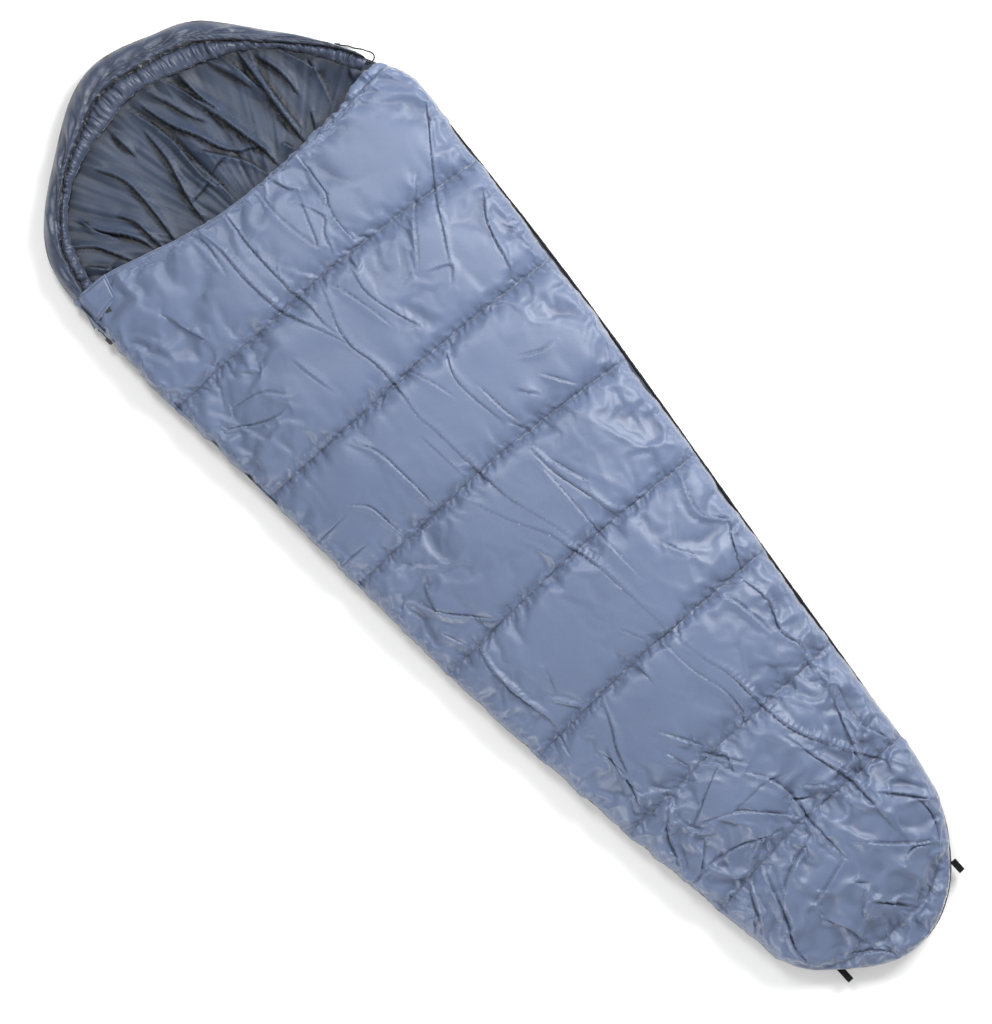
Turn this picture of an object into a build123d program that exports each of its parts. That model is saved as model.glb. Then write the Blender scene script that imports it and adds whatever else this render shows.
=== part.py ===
from build123d import *
import math
import os

os.makedirs("parts", exist_ok=True)

# Mummy sleeping bag lying on its back. Millimetres, +Z up, +Y towards the hood, origin under the
# middle of the bag on the surface it lies on. -X is the zip side.

# ---------------------------------------------------------------- driving dimensions
HEAD_Y = 1100.0  # top of the hood
FOOT_Y = -1100.0  # end of the foot box
HOOD_APEX_X = -40.0  # the hood's point leans to the zip side
SHOULDER = (370.0, 690.0)  # widest point of the plain side
CHEEK = (228.0, 938.0)
NECK = (317.0, 810.0)
MIDDLE = (321.0, 8.0)
SHIN = (244.0, -720.0)
ZIP_TOP = (-358.0, 775.0)  # the zip line is one flat arc through these three points
ZIP_MIDDLE = (-315.0, 8.0)
ZIP_FOOT = (-208.0, -880.0)

FABRIC = 1.2  # shell and lining cloth, with its seam allowance
BACK_THICK = 28.0  # back quilt
COVER_THICK = 26.0  # cover quilt
FLAP_BASE = 42.3  # lowest edge of the opening half of the cover, above the zip slider
FIT_GAP = 0.3  # between soft pieces on different bodies
CEILING = 140.0  # above everything, for cutting prisms

HOOD_LINE_LEFT = (-352.0, 814.0)  # the hood folds up about this line
HOOD_LINE_RIGHT = (358.0, 754.0)
RIM_TOP = 58.0  # top of the hood's padded rim

COIL_HALF = 1.4  # half the coil's width across the zip
COIL_BACK = (31.9, 34.4)  # height range of the coil on the back half
COIL_COVER = (35.6, 38.1)
TAPE_HALF = 0.4
SLIDER_LENGTH = 18.0
SLIDER_Y = 738.0  # slider's middle with the zip closed
SLIDER_END_Y = -850.0  # and with the zip open

CORD_D = 2.8
LOCK_REST = 20.0  # cord lock's place along the cord from the eyelet
LOCK_OUTER_R = 6.5
LOCK_BORE_R = 5.0
LOCK_IN = 11.5  # barrel's open end, inboard of the cord
LOCK_OUT = 10.5  # its closed end

parts = {}


def save(name, builder):
    """Label the piece and write its STEP file."""
    builder.part.label = name
    export_step(builder.part, f"parts/{name}.step")
    parts[name] = builder.part


# ---------------------------------------------------------------- the zip's arc
def circle_through(a, b, c):
    """Centre and radius of the circle through three points."""
    ax, ay = a
    bx, by = b
    cx, cy = c
    d = 2 * (ax * (by - cy) + bx * (cy - ay) + cx * (ay - by))
    ux = ((ax**2 + ay**2) * (by - cy) + (bx**2 + by**2) * (cy - ay) + (cx**2 + cy**2) * (ay - by)) / d
    uy = ((ax**2 + ay**2) * (cx - bx) + (bx**2 + by**2) * (ax - cx) + (cx**2 + cy**2) * (bx - ax)) / d
    return ux, uy, math.hypot(ax - ux, ay - uy)


ZIP_CX, ZIP_CY, ZIP_R = circle_through(ZIP_TOP, ZIP_MIDDLE, ZIP_FOOT)


def zip_point(y, inset=0.0):
    """Point of the zip's arc at a height y, moved towards the bag by inset."""
    r = ZIP_R - inset
    angle = math.asin((y - ZIP_CY) / ZIP_R)
    return (ZIP_CX - r * math.cos(angle), ZIP_CY + r * math.sin(angle))


def zip_plane(y, z=0.0):
    """Frame on the zip line: x towards the bag, y along the zip to the head, z up."""
    px, py = zip_point(y)
    inward = Vector(ZIP_CX - px, ZIP_CY - py, 0).normalized()
    return Plane(origin=(px, py, z), x_dir=inward, z_dir=(0, 0, 1))


def zip_strip(y_low, y_high, inner, outer, z_low, z_high):
    """Solid that follows the zip's arc, from outer to inner millimetres towards the bag."""
    middle = (y_low + y_high) / 2
    with BuildPart() as strip:
        with BuildSketch(Plane.XY.offset(z_low)):
            with BuildLine():
                ThreePointArc(zip_point(y_low, outer), zip_point(middle, outer), zip_point(y_high, outer))
                Line(zip_point(y_high, outer), zip_point(y_high, inner))
                ThreePointArc(zip_point(y_high, inner), zip_point(middle, inner), zip_point(y_low, inner))
                Line(zip_point(y_low, inner), zip_point(y_low, outer))
            make_face()
        extrude(amount=z_high - z_low)
    return strip


# ---------------------------------------------------------------- plan outline and its regions
EDGE = 0.8  # the quilts start this far inside the zip line
LEFT_TOP = zip_point(ZIP_TOP[1], EDGE)
LEFT_MIDDLE = zip_point(ZIP_MIDDLE[1], EDGE)
LEFT_FOOT = zip_point(ZIP_FOOT[1], EDGE)


def bag_outline(inset=0.0):
    """Plan outline of the whole bag, drawn in towards its middle by inset."""
    shrink_x = 1 - inset / SHOULDER[0]
    shrink_y = 1 - inset / HEAD_Y

    def at(*point):
        return (point[0] * shrink_x, point[1] * shrink_y)

    head = [LEFT_TOP, (-340, 898), (-200, 1030), (HOOD_APEX_X, HEAD_Y), (90, 1062), CHEEK]
    foot = [SHIN, (176, -995), (0, FOOT_Y), (-172, -990), LEFT_FOOT]
    with BuildSketch() as plan:
        with BuildLine():
            ThreePointArc(at(*LEFT_FOOT), at(*LEFT_MIDDLE), at(*LEFT_TOP))
            Spline(*[at(*p) for p in head], tangents=((-0.03, 1), (0.6, -0.8)))
            ThreePointArc(at(*CHEEK), at(*NECK), at(*SHOULDER))
            ThreePointArc(at(*SHOULDER), at(*MIDDLE), at(*SHIN))
            Spline(*[at(*p) for p in foot], tangents=((-0.1, -1), (-0.15, 1)))
        make_face()
    return plan


outline = bag_outline()


def region(points, inset=0.0):
    """The bag's outline, drawn in by inset, inside a polygon."""
    with BuildSketch() as piece:
        add(bag_outline(inset).sketch)
        with BuildSketch(mode=Mode.INTERSECT):
            with BuildLine():
                Polyline(*points, close=True)
            make_face()
    return piece


def along(a, b, distance, side):
    """Point on the line a-b carried on past b, and moved to its left by side."""
    length = math.hypot(b[0] - a[0], b[1] - a[1])
    ux, uy = (b[0] - a[0]) / length, (b[1] - a[1]) / length
    return (b[0] + ux * distance - uy * side, b[1] + uy * distance + ux * side)


def line_edge(a, b, side):
    """The two ends of a line through a and b, carried on past both and moved to its left."""
    return along(b, a, 500, -side), along(a, b, 500, side)


FAR = 1500.0
hood_low_left, hood_low_right = line_edge(HOOD_LINE_LEFT, HOOD_LINE_RIGHT, FIT_GAP)
back_top_left, back_top_right = line_edge(HOOD_LINE_LEFT, HOOD_LINE_RIGHT, -FIT_GAP)
HOOD_POLYGON = (hood_low_left, (-FAR, FAR), (FAR, FAR), hood_low_right)
BACK_POLYGON = (back_top_left, (-FAR, -FAR), (FAR, -FAR), back_top_right)

# the cover folds back about the line from the zip's foot to the plain end of the collar
FOLD_FOOT = (-208.0, -884.0)
FOLD_HEAD = (358.0, 745.0)
COLLAR = ((-420, 806), (-285, 800), (-139, 755), (-12, 733), (170, 732), (420, 742))


def cover_region(side, top_shift=0.0, inset=0.0):
    """Outline below the collar edge, on one side of the fold line: -1 the zip side, 1 the plain side."""
    low, high = line_edge(FOLD_FOOT, FOLD_HEAD, -side * FIT_GAP)
    with BuildSketch() as piece:
        add(bag_outline(inset).sketch)
        with BuildSketch(mode=Mode.INTERSECT):
            with BuildLine():
                collar = Spline(*[(x, y + top_shift) for x, y in COLLAR])
                Polyline(collar @ 1, (FAR, -FAR), (-FAR, -FAR), collar @ 0)
            make_face()
        with BuildSketch(mode=Mode.INTERSECT):
            with BuildLine():
                Polyline(low, high, (side * 3 * FAR, high[1]), (side * 3 * FAR, low[1]), close=True)
            make_face()
    return piece


# ---------------------------------------------------------------- the cover's arched surface
# station y, half width of the section, height at its edge, height at its crown
ARCH_STATIONS = (
    (870.0, 400.0, 48.0, 84.0),
    (300.0, 380.0, 52.0, 96.0),
    (-400.0, 315.0, 53.0, 95.0),
    (-880.0, 262.0, 50.0, 86.0),
    (-1115.0, 220.0, 34.0, 54.0),
)
ARCH_ROOT = -60.0

with BuildPart() as arch:
    for station, half, edge_z, crown_z in ARCH_STATIONS:
        with BuildSketch(Plane.XZ.offset(-station)):
            with BuildLine():
                Line((-half, ARCH_ROOT), (half, ARCH_ROOT))
                Line((half, ARCH_ROOT), (half, edge_z))
                ThreePointArc((half, edge_z), (0, crown_z), (-half, edge_z))
                Line((-half, edge_z), (-half, ARCH_ROOT))
            make_face()
    loft()


def arch_layer(plan, base_z, top_drop, bottom_drop):
    """Cloth or padding between two levels under the arched surface, cut to a plan region."""
    with BuildPart() as layer:
        with BuildSketch(Plane.XY.offset(base_z)):
            add(plan.sketch)
        extrude(amount=CEILING - base_z)
        add(arch.part.moved(Location((0, 0, -top_drop))), mode=Mode.INTERSECT)
        add(arch.part.moved(Location((0, 0, -bottom_drop))), mode=Mode.SUBTRACT)
    return layer


def flat_layer(plan, z_low, z_high):
    """Flat layer of a quilt between two heights."""
    with BuildPart() as layer:
        with BuildSketch(Plane.XY.offset(z_low)):
            add(plan.sketch)
        extrude(amount=z_high - z_low)
    return layer


def tray(plan, inner_plan, height):
    """Outer cloth of a quilt that lies on the ground: a sheet with an upright edge."""
    with BuildPart() as cloth:
        with BuildSketch():
            add(plan.sketch)
        extrude(amount=height)
        with BuildSketch(Plane.XY.offset(FABRIC)):
            add(inner_plan.sketch)
        extrude(amount=height, mode=Mode.SUBTRACT)
    return cloth


# ---------------------------------------------------------------- back half
back_plan = region(BACK_POLYGON)
back_inner = region(BACK_POLYGON, FABRIC)
save("back_shell", tray(back_plan, back_inner, BACK_THICK))
save("back_insulation", flat_layer(back_inner, FABRIC, BACK_THICK - FABRIC))
save("back_lining", flat_layer(back_inner, BACK_THICK - FABRIC, BACK_THICK))

# ---------------------------------------------------------------- fixed half of the cover, round the foot
fixed_plan = cover_region(1)
fixed_inner = cover_region(1, 0, FABRIC)
with BuildSketch() as fixed_edge:
    add(fixed_plan.sketch)
    add(fixed_inner.sketch, mode=Mode.SUBTRACT)
with BuildPart() as foot_cover_shell:
    add(arch_layer(fixed_inner, BACK_THICK, 0, FABRIC).part)
    add(arch_layer(fixed_edge, BACK_THICK, 0, FAR).part)
save("foot_cover_shell", foot_cover_shell)
# the padding closes down onto the back quilt along the sewn edge
EDGE_ROLL = 30.0
fixed_hollow = cover_region(1, 0, EDGE_ROLL)
with BuildSketch() as edge_roll:
    add(fixed_inner.sketch)
    add(fixed_hollow.sketch, mode=Mode.SUBTRACT)
with BuildPart() as foot_cover_insulation:
    add(arch_layer(fixed_hollow, BACK_THICK, FABRIC, COVER_THICK - FABRIC).part)
    add(arch_layer(edge_roll, BACK_THICK, FABRIC, FAR).part)
save("foot_cover_insulation", foot_cover_insulation)
save("foot_cover_lining", arch_layer(fixed_hollow, BACK_THICK, COVER_THICK - FABRIC, COVER_THICK))

FOOT_PAD_Y = -1000.0
foot_pad_plan = region(((-FAR, FOOT_PAD_Y), (FAR, FOOT_PAD_Y), (FAR, -FAR), (-FAR, -FAR)), EDGE_ROLL)
save("foot_box_pad", arch_layer(foot_pad_plan, BACK_THICK, COVER_THICK, FAR))

# ---------------------------------------------------------------- opening half of the cover
HEM_WIDTH = 22.0
flap_plan = cover_region(-1, -HEM_WIDTH)
save("cover_shell", arch_layer(flap_plan, FLAP_BASE, 0, FABRIC))
save("cover_insulation", arch_layer(flap_plan, FLAP_BASE, FABRIC, COVER_THICK - FABRIC))
save("cover_lining", arch_layer(flap_plan, FLAP_BASE, COVER_THICK - FABRIC, COVER_THICK))

# the gathered hem along the collar edge, with a flat elastic in its channel
ELASTIC = (8.0, 10.0)
with BuildSketch() as hem_plan:
    add(cover_region(-1).sketch)
    add(flap_plan.sketch, mode=Mode.SUBTRACT)
with BuildSketch() as elastic_plan:
    add(cover_region(-1, -6, 4).sketch)
    add(cover_region(-1, -HEM_WIDTH + 6).sketch, mode=Mode.SUBTRACT)
collar_elastic = arch_layer(elastic_plan, FLAP_BASE, *ELASTIC)
save("collar_elastic", collar_elastic)
with BuildPart() as collar_hem:
    add(arch_layer(hem_plan, FLAP_BASE, 0, COVER_THICK - 4).part)
    add(collar_elastic.part, mode=Mode.SUBTRACT)
save("collar_hem", collar_hem)

# ---------------------------------------------------------------- zip
TAPE_DEPTH = 16.0
STOP_LENGTH = 6.0
COIL_TOP_Y = 752.0
COIL_FOOT_Y = SLIDER_END_Y - SLIDER_LENGTH / 2 - 2
TAPE_TOP_Y = 790.0
SLIDER_ROOM = SLIDER_LENGTH / 2 + 2.5

save("zip_coil_back", zip_strip(COIL_FOOT_Y, COIL_TOP_Y, COIL_HALF, -COIL_HALF, *COIL_BACK))
cover_coil_low = SLIDER_END_Y + SLIDER_ROOM
cover_coil_high = SLIDER_Y - SLIDER_ROOM
save("zip_coil_cover", zip_strip(cover_coil_low, cover_coil_high, COIL_HALF, -COIL_HALF, *COIL_COVER))
back_tape_low = COIL_BACK[0] - TAPE_DEPTH
save("zip_tape_back", zip_strip(COIL_FOOT_Y, TAPE_TOP_Y, TAPE_HALF, -TAPE_HALF, back_tape_low, COIL_BACK[0]))

with BuildPart() as zip_tape_cover:
    add(zip_strip(cover_coil_low, cover_coil_high, TAPE_HALF, -TAPE_HALF, COIL_COVER[1], FLAP_BASE).part)
    cover_tape_high = COIL_COVER[1] + TAPE_DEPTH
    add(zip_strip(cover_coil_low, TAPE_TOP_Y, TAPE_HALF, -TAPE_HALF, FLAP_BASE, cover_tape_high).part)
save("zip_tape_cover", zip_tape_cover)

BOTTOM_STOP_HALF = 2.4
BOTTOM_STOP_Z = (COIL_BACK[0] - 1.5, COIL_COVER[1] + 1.5)
TOP_STOP_HALF = 2.0
TOP_STOP_Z = (COIL_BACK[0], COIL_BACK[1] + 0.5)
stop_low = COIL_FOOT_Y - STOP_LENGTH
stop_high = COIL_TOP_Y + STOP_LENGTH
bottom_stop = zip_strip(stop_low, COIL_FOOT_Y, BOTTOM_STOP_HALF, -BOTTOM_STOP_HALF, *BOTTOM_STOP_Z)
save("zip_bottom_stop", bottom_stop)
save("zip_top_stop", zip_strip(COIL_TOP_Y, stop_high, TOP_STOP_HALF, -TOP_STOP_HALF, *TOP_STOP_Z))

DRAFT_R = 6.3
DRAFT_INSET = 12.0
with BuildPart() as zip_draft_tube:
    with BuildLine() as draft_path:
        ThreePointArc(
            zip_point(COIL_FOOT_Y + 20, DRAFT_INSET),
            zip_point(0, DRAFT_INSET),
            zip_point(COIL_TOP_Y, DRAFT_INSET),
        )
    with BuildSketch(Plane(origin=draft_path.line @ 0, z_dir=draft_path.line % 0)):
        Circle(DRAFT_R)
    sweep()
zip_draft_tube.part.position = (0, 0, BACK_THICK + DRAFT_R + 0.05)
save("zip_draft_tube", zip_draft_tube)

# slider: two plates joined by a thin post between the coils, with lips that leave a slit for the tape
PLATE_IN = 1.9
PLATE_OUT = 3.4
SLIDER_Z = (29.2, 40.8)
LIP = 1.2
POST = (34.6, 35.4)
slider_frame = zip_plane(SLIDER_Y)
SLIDER_MID_Z = sum(SLIDER_Z) / 2
SLIDER_TALL = SLIDER_Z[1] - SLIDER_Z[0]
PULL_PIN_R = 1.0
LUG_OUT = 8.0
PULL_PIN_X = -6.2
with BuildPart() as slider_body:
    for sign in (-1, 1):
        with BuildSketch(slider_frame.offset(SLIDER_Z[0])):
            with Locations((sign * (PLATE_IN + PLATE_OUT) / 2, 0)):
                Rectangle(PLATE_OUT - PLATE_IN, SLIDER_LENGTH)
        extrude(amount=SLIDER_TALL)
        for lip_z in (SLIDER_Z[0], SLIDER_Z[1] - LIP):
            with BuildSketch(slider_frame.offset(lip_z)):
                with Locations((sign * (PLATE_IN + 0.9) / 2, 0)):
                    Rectangle(PLATE_IN - 0.9, SLIDER_LENGTH)
            extrude(amount=LIP)
    with BuildSketch(slider_frame.offset(POST[0])):
        with Locations((0, SLIDER_LENGTH / 2 - 2)):
            Rectangle(2 * PLATE_IN, 4)
    extrude(amount=POST[1] - POST[0])
    # two ears on the outer plate that carry the pull
    for ear_z in (SLIDER_MID_Z - 3.4, SLIDER_MID_Z + 2.0):
        with BuildSketch(slider_frame.offset(ear_z)):
            with Locations((-(PLATE_OUT + LUG_OUT) / 2, 0)):
                Rectangle(LUG_OUT - PLATE_OUT, 5)
        extrude(amount=1.4)
    with BuildSketch(slider_frame.offset(SLIDER_MID_Z - 3.4)):
        with Locations((PULL_PIN_X, 0)):
            Circle(PULL_PIN_R)
    extrude(amount=6.8)
save("slider_body", slider_body)

# pull: an eye on the pin, a short stem and a moulded grip that hangs towards the foot
PULL_LENGTH = 34.0
GRIP_LENGTH = 14.0
with BuildPart() as zip_pull:
    with BuildSketch(slider_frame.offset(SLIDER_MID_Z - 1.2)):
        with Locations((PULL_PIN_X, 0)):
            Circle(PULL_PIN_R + 1.6)
        with Locations((PULL_PIN_X, -(PULL_LENGTH - GRIP_LENGTH) / 2 - 1)):
            Rectangle(2.2, PULL_LENGTH - GRIP_LENGTH - 2)
        with Locations((PULL_PIN_X, 0)):
            Circle(PULL_PIN_R + 0.08, mode=Mode.SUBTRACT)
    extrude(amount=2.4)
    with BuildSketch(slider_frame.offset(SLIDER_MID_Z - 4)):
        with Locations((PULL_PIN_X - 1.6, -PULL_LENGTH + GRIP_LENGTH / 2)):
            RectangleRounded(6.4, GRIP_LENGTH, 2.5)
    extrude(amount=8)
save("zip_pull", zip_pull)

# ---------------------------------------------------------------- tab over the top of the zip
TAB = (-356.0, -288.0, 734.0, 803.0)  # low x, high x, low y, high y
with BuildSketch() as tab_plan:
    with Locations(((TAB[0] + TAB[1]) / 2, (TAB[2] + TAB[3]) / 2)):
        RectangleRounded(TAB[1] - TAB[0], TAB[3] - TAB[2], 5)
with BuildSketch() as patch_plan:
    with Locations(((TAB[0] + TAB[1]) / 2 + 10, (TAB[2] + TAB[3]) / 2 - 3)):
        Rectangle(38, 44)
with BuildSketch() as loop_plan:
    add(patch_plan.sketch)
    add(cover_region(-1, -HEM_WIDTH - 1, 1).sketch, mode=Mode.INTERSECT)
save("tab_loop_patch", arch_layer(loop_plan, FLAP_BASE, -1.0, 0))
save("tab_hook_patch", arch_layer(patch_plan, FLAP_BASE, -2.4, -1.4))
save("tab_fabric", arch_layer(tab_plan, FLAP_BASE, -4.8, -2.4))

# ---------------------------------------------------------------- hood
hood_plan = region(HOOD_POLYGON)
hood_inner = region(HOOD_POLYGON, FABRIC)
save("hood_shell", tray(hood_plan, hood_inner, BACK_THICK))
save("hood_insulation", flat_layer(hood_inner, FABRIC, BACK_THICK - FABRIC))
save("hood_lining", flat_layer(hood_inner, BACK_THICK - FABRIC, BACK_THICK))

# the rim is an outer padded roll and an inner gathered channel; both stop short of the plain corner
RIM_END = ((286.0, 792.0), (352.0, 836.0))
SEAM_LEFT = ((-336, 800), (-258, 962), (HOOD_APEX_X, 1048))
SEAM_RIGHT = ((HOOD_APEX_X, 1048), (160, 968), (330, 768))
LIP_LEFT = ((-312, 800), (-226, 938), (HOOD_APEX_X, 1014))
LIP_RIGHT = ((HOOD_APEX_X, 1014), (142, 934), (304, 768))
end_low, end_high = line_edge(*RIM_END, 0)
RIM_POLYGON = (end_low, end_high, (end_high[0], FAR), (-FAR, FAR), (-FAR, end_low[1]))


def inside_curve(left, right):
    """Area on the bowl side of a pair of arcs that meet at the hood's point."""
    with BuildSketch() as area:
        with BuildLine():
            ThreePointArc(*left)
            ThreePointArc(*right)
            Polyline(right[2], (right[2][0], 0), (left[0][0], 0), left[0])
        make_face()
    return area


def rim_cut(plan_builder):
    """Keep a rim piece above the hood's fold line and clear of its plain end."""
    with BuildSketch() as kept:
        add(plan_builder.sketch)
        add(hood_plan.sketch, mode=Mode.INTERSECT)
        for polygon in (RIM_POLYGON, HOOD_POLYGON):
            with BuildSketch(mode=Mode.INTERSECT):
                with BuildLine():
                    Polyline(*polygon, close=True)
                make_face()
    return kept


with BuildSketch() as rim_band:
    add(hood_plan.sketch)
    add(inside_curve(SEAM_LEFT, SEAM_RIGHT).sketch, mode=Mode.SUBTRACT)
with BuildSketch() as channel_band:
    add(inside_curve(SEAM_LEFT, SEAM_RIGHT).sketch)
    add(inside_curve(LIP_LEFT, LIP_RIGHT).sketch, mode=Mode.SUBTRACT)
rim_plan = rim_cut(rim_band)
channel_plan = rim_cut(channel_band)


def corner_radii(points):
    """Corner radii of a cord's route: 0.45 of the shorter run over the tangent of half the turn."""
    radii = []
    for a, b, c in zip(points, points[1:], points[2:]):
        before = Vector(*b) - Vector(*a)
        after = Vector(*c) - Vector(*b)
        half_turn = math.radians(before.get_angle(after)) / 2
        radii.append(0.45 * min(before.length, after.length) / math.tan(half_turn))
    return radii


def tube(points, diameter, name):
    """Round cord along a route of straight runs and tangent arcs."""
    radii = corner_radii(points)
    with BuildPart() as cord:
        with BuildLine() as route:
            FilletPolyline(*points, radius=radii)
        with BuildSketch(Plane(origin=route.line @ 0, z_dir=route.line % 0)):
            Circle(diameter / 2)
        sweep()
    length = sum(run.length for run in route.line.edges())
    ideal = math.pi * diameter**2 / 4 * length
    print(name, "radii", [round(r, 1) for r in radii], "length", round(length, 1))
    print(name, "volume", round(cord.part.volume, 1), "section x length", round(ideal, 1))
    return cord


CORD_Z = 35.0  # height of the drawcord in the channel and through the cord lock
EYELET = (306.5, 805.7)  # where the drawcord comes out of the channel
EXIT_TURN = math.radians(-57)
RUN = (math.cos(EXIT_TURN), math.sin(EXIT_TURN))
OUT = (-RUN[1], RUN[0])


def beside_run(s, v, z):
    """Point s along the cord's straight run from the eyelet, v to its outer side, at height z."""
    return (EYELET[0] + RUN[0] * s + OUT[0] * v, EYELET[1] + RUN[1] * s + OUT[1] * v, z)


CHANNEL_ROUTE = [
    (-327.0, 830.0, CORD_Z),
    (-301.0, 884.0, CORD_Z),
    (-247.0, 943.0, CORD_Z),
    (-172.0, 990.0, CORD_Z),
    (-88.0, 1022.0, CORD_Z),
    (-4.0, 1024.0, CORD_Z),
    (76.0, 994.0, CORD_Z),
    (152.0, 950.0, CORD_Z),
    (218.0, 896.0, CORD_Z),
    beside_run(-50.0, 0.0, CORD_Z),
    beside_run(-4.0, 0.0, CORD_Z),
]
TUNNEL_ROUTE = CHANNEL_ROUTE[:-1] + [beside_run(8.0, 0.0, CORD_Z)]
hood_drawcord = tube(CHANNEL_ROUTE, CORD_D, "hood_drawcord")
save("hood_drawcord", hood_drawcord)

tunnel = tube(TUNNEL_ROUTE, CORD_D + 1.2, "channel tunnel")
with BuildPart() as hood_cord_channel:
    add(flat_layer(channel_plan, BACK_THICK, RIM_TOP - 4).part)
    add(tunnel.part, mode=Mode.SUBTRACT)
save("hood_cord_channel", hood_cord_channel)
with BuildPart() as hood_rim_roll:
    add(flat_layer(rim_plan, BACK_THICK, RIM_TOP).part)
    add(tunnel.part, mode=Mode.SUBTRACT)
save("hood_rim_roll", hood_rim_roll)

EYELET_LENGTH = 3.0
exit_plane = Plane(origin=beside_run(-4.0, 0, CORD_Z), z_dir=(RUN[0], RUN[1], 0))
with BuildPart() as drawcord_eyelet:
    with BuildSketch(exit_plane.offset(4.6)):
        Circle(4.6)
        Circle(CORD_D / 2 + 0.35, mode=Mode.SUBTRACT)
    extrude(amount=EYELET_LENGTH)
save("drawcord_eyelet", drawcord_eyelet)

# the free tail: straight through the lock, round, and down beside the hood's edge to the ground
TAIL_ROUTE = [
    beside_run(-4.0, 0.0, CORD_Z),
    beside_run(46.0, 0.0, CORD_Z),
    beside_run(52.2, 6.2, 34.4),
    beside_run(52.0, 15.0, 33.0),
    beside_run(45.2, 20.8, 28.5),
    beside_run(34.0, 22.6, 20.5),
    beside_run(22.0, 24.8, 12.5),
    beside_run(9.0, 23.8, 6.5),
    beside_run(-5.0, 26.0, 4.2),
    beside_run(-18.0, 23.0, 4.0),
]
drawcord_tail = tube(TAIL_ROUTE, CORD_D, "drawcord_tail")
save("drawcord_tail", drawcord_tail)

END_R = 3.8
END_LENGTH = 11.0
tail_end = Vector(*TAIL_ROUTE[-1])
tail_way = (tail_end - Vector(*TAIL_ROUTE[-2])).normalized()
with BuildPart() as drawcord_end:
    with BuildSketch(Plane(origin=tail_end, z_dir=tail_way)):
        Circle(END_R)
    extrude(amount=END_LENGTH)
    chamfer(drawcord_end.edges().filter_by(GeomType.CIRCLE), 1.0)
save("drawcord_end", drawcord_end)

# ---------------------------------------------------------------- cord lock
lock_centre = beside_run(LOCK_REST, 0, CORD_Z)
lock_plane = Plane(origin=lock_centre, x_dir=(RUN[0], RUN[1], 0), z_dir=(OUT[0], OUT[1], 0))
CORD_HOLE_R = 2.1
PLUNGER_R = LOCK_BORE_R - 0.06
PLUNGER_TRAVEL = 3.5
BUTTON_OUT = 6.0  # how far the button stands out of the barrel
FLOOR_THICK = 1.6  # closed end of the barrel
with BuildPart() as cord_lock_barrel:
    with BuildSketch(lock_plane.offset(-LOCK_IN)):
        Circle(LOCK_OUTER_R)
    extrude(amount=LOCK_IN + LOCK_OUT)
    with BuildSketch(lock_plane.offset(-LOCK_IN)):
        Circle(LOCK_BORE_R)
    extrude(amount=LOCK_IN + LOCK_OUT - FLOOR_THICK, mode=Mode.SUBTRACT)
    with BuildSketch(Plane(origin=lock_centre, z_dir=(RUN[0], RUN[1], 0))):
        Circle(CORD_HOLE_R)
    extrude(amount=LOCK_OUTER_R + 1, both=True, mode=Mode.SUBTRACT)
save("cord_lock_barrel", cord_lock_barrel)

PLUNGER_HEAD = 1.2  # solid plunger past the slot, on the spring side
with BuildPart() as cord_lock_plunger:
    with BuildSketch(lock_plane.offset(-LOCK_IN - BUTTON_OUT)):
        Circle(PLUNGER_R)
    extrude(amount=BUTTON_OUT + LOCK_IN + CORD_HOLE_R + PLUNGER_HEAD)
    slot_plane = Plane(origin=lock_centre, x_dir=(OUT[0], OUT[1], 0), z_dir=(RUN[0], RUN[1], 0))
    with BuildSketch(slot_plane):
        with Locations((-PLUNGER_TRAVEL / 2, 0)):
            SlotOverall(2 * CORD_HOLE_R + PLUNGER_TRAVEL, 2 * CORD_HOLE_R)
    extrude(amount=LOCK_OUTER_R, both=True, mode=Mode.SUBTRACT)
save("cord_lock_plunger", cord_lock_plunger)

spring_low = CORD_HOLE_R + PLUNGER_HEAD + 0.05
spring_high = LOCK_OUT - FLOOR_THICK - 0.05
SPRING_COIL_R = 3.6
SPRING_WIRE_R = 0.35
with BuildPart() as cord_lock_spring:
    with BuildLine() as spring_path:
        Helix(
            pitch=(spring_high - spring_low - 2 * SPRING_WIRE_R) / 2.5,
            height=spring_high - spring_low - 2 * SPRING_WIRE_R,
            radius=SPRING_COIL_R,
        )
    with BuildSketch(Plane(origin=spring_path.line @ 0, z_dir=spring_path.line % 0)):
        Circle(SPRING_WIRE_R)
    sweep()
cord_lock_spring.part.location = lock_plane.offset(spring_low + SPRING_WIRE_R).location
save("cord_lock_spring", cord_lock_spring)

# ---------------------------------------------------------------- gathered corner beside the cord lock
CORNER = ((276.0, 764.0), (298.0, 762.0), (288.0, 781.0), (270.0, 786.0))
with BuildPart() as hood_corner_gather:
    with BuildSketch(Plane.XY.offset(BACK_THICK)):
        with BuildLine():
            Polyline(*CORNER, close=True)
        make_face()
    extrude(amount=10)
save("hood_corner_gather", hood_corner_gather)

# ---------------------------------------------------------------- edge bindings
BINDING_OUT = 3.0
BINDING_Z = (22.0, 30.0)


def binding(*polygons):
    """Bound seam that stands just outside the outline, where all the polygons overlap."""
    with BuildSketch() as band:
        add(bag_outline(-BINDING_OUT).sketch)
        add(outline.sketch, mode=Mode.SUBTRACT)
        for polygon in polygons:
            with BuildSketch(mode=Mode.INTERSECT):
                with BuildLine():
                    Polyline(*polygon, close=True)
                make_face()
    return flat_layer(band, *BINDING_Z)


BINDING_LOW_Y = -895.0
SIDE_POLYGON = (
    (-FAR, -FAR),
    (FAR, -FAR),
    back_top_right,
    (0, 760),
    (0, BINDING_LOW_Y),
    (-FAR, BINDING_LOW_Y),
)
save("side_seam_binding", binding(SIDE_POLYGON))
HOOD_BINDING_POLYGON = (hood_low_left, (-FAR, FAR), end_high, along(RIM_END[1], RIM_END[0], 100, 0))
save("hood_seam_binding", binding(HOOD_BINDING_POLYGON, HOOD_POLYGON))

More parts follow.
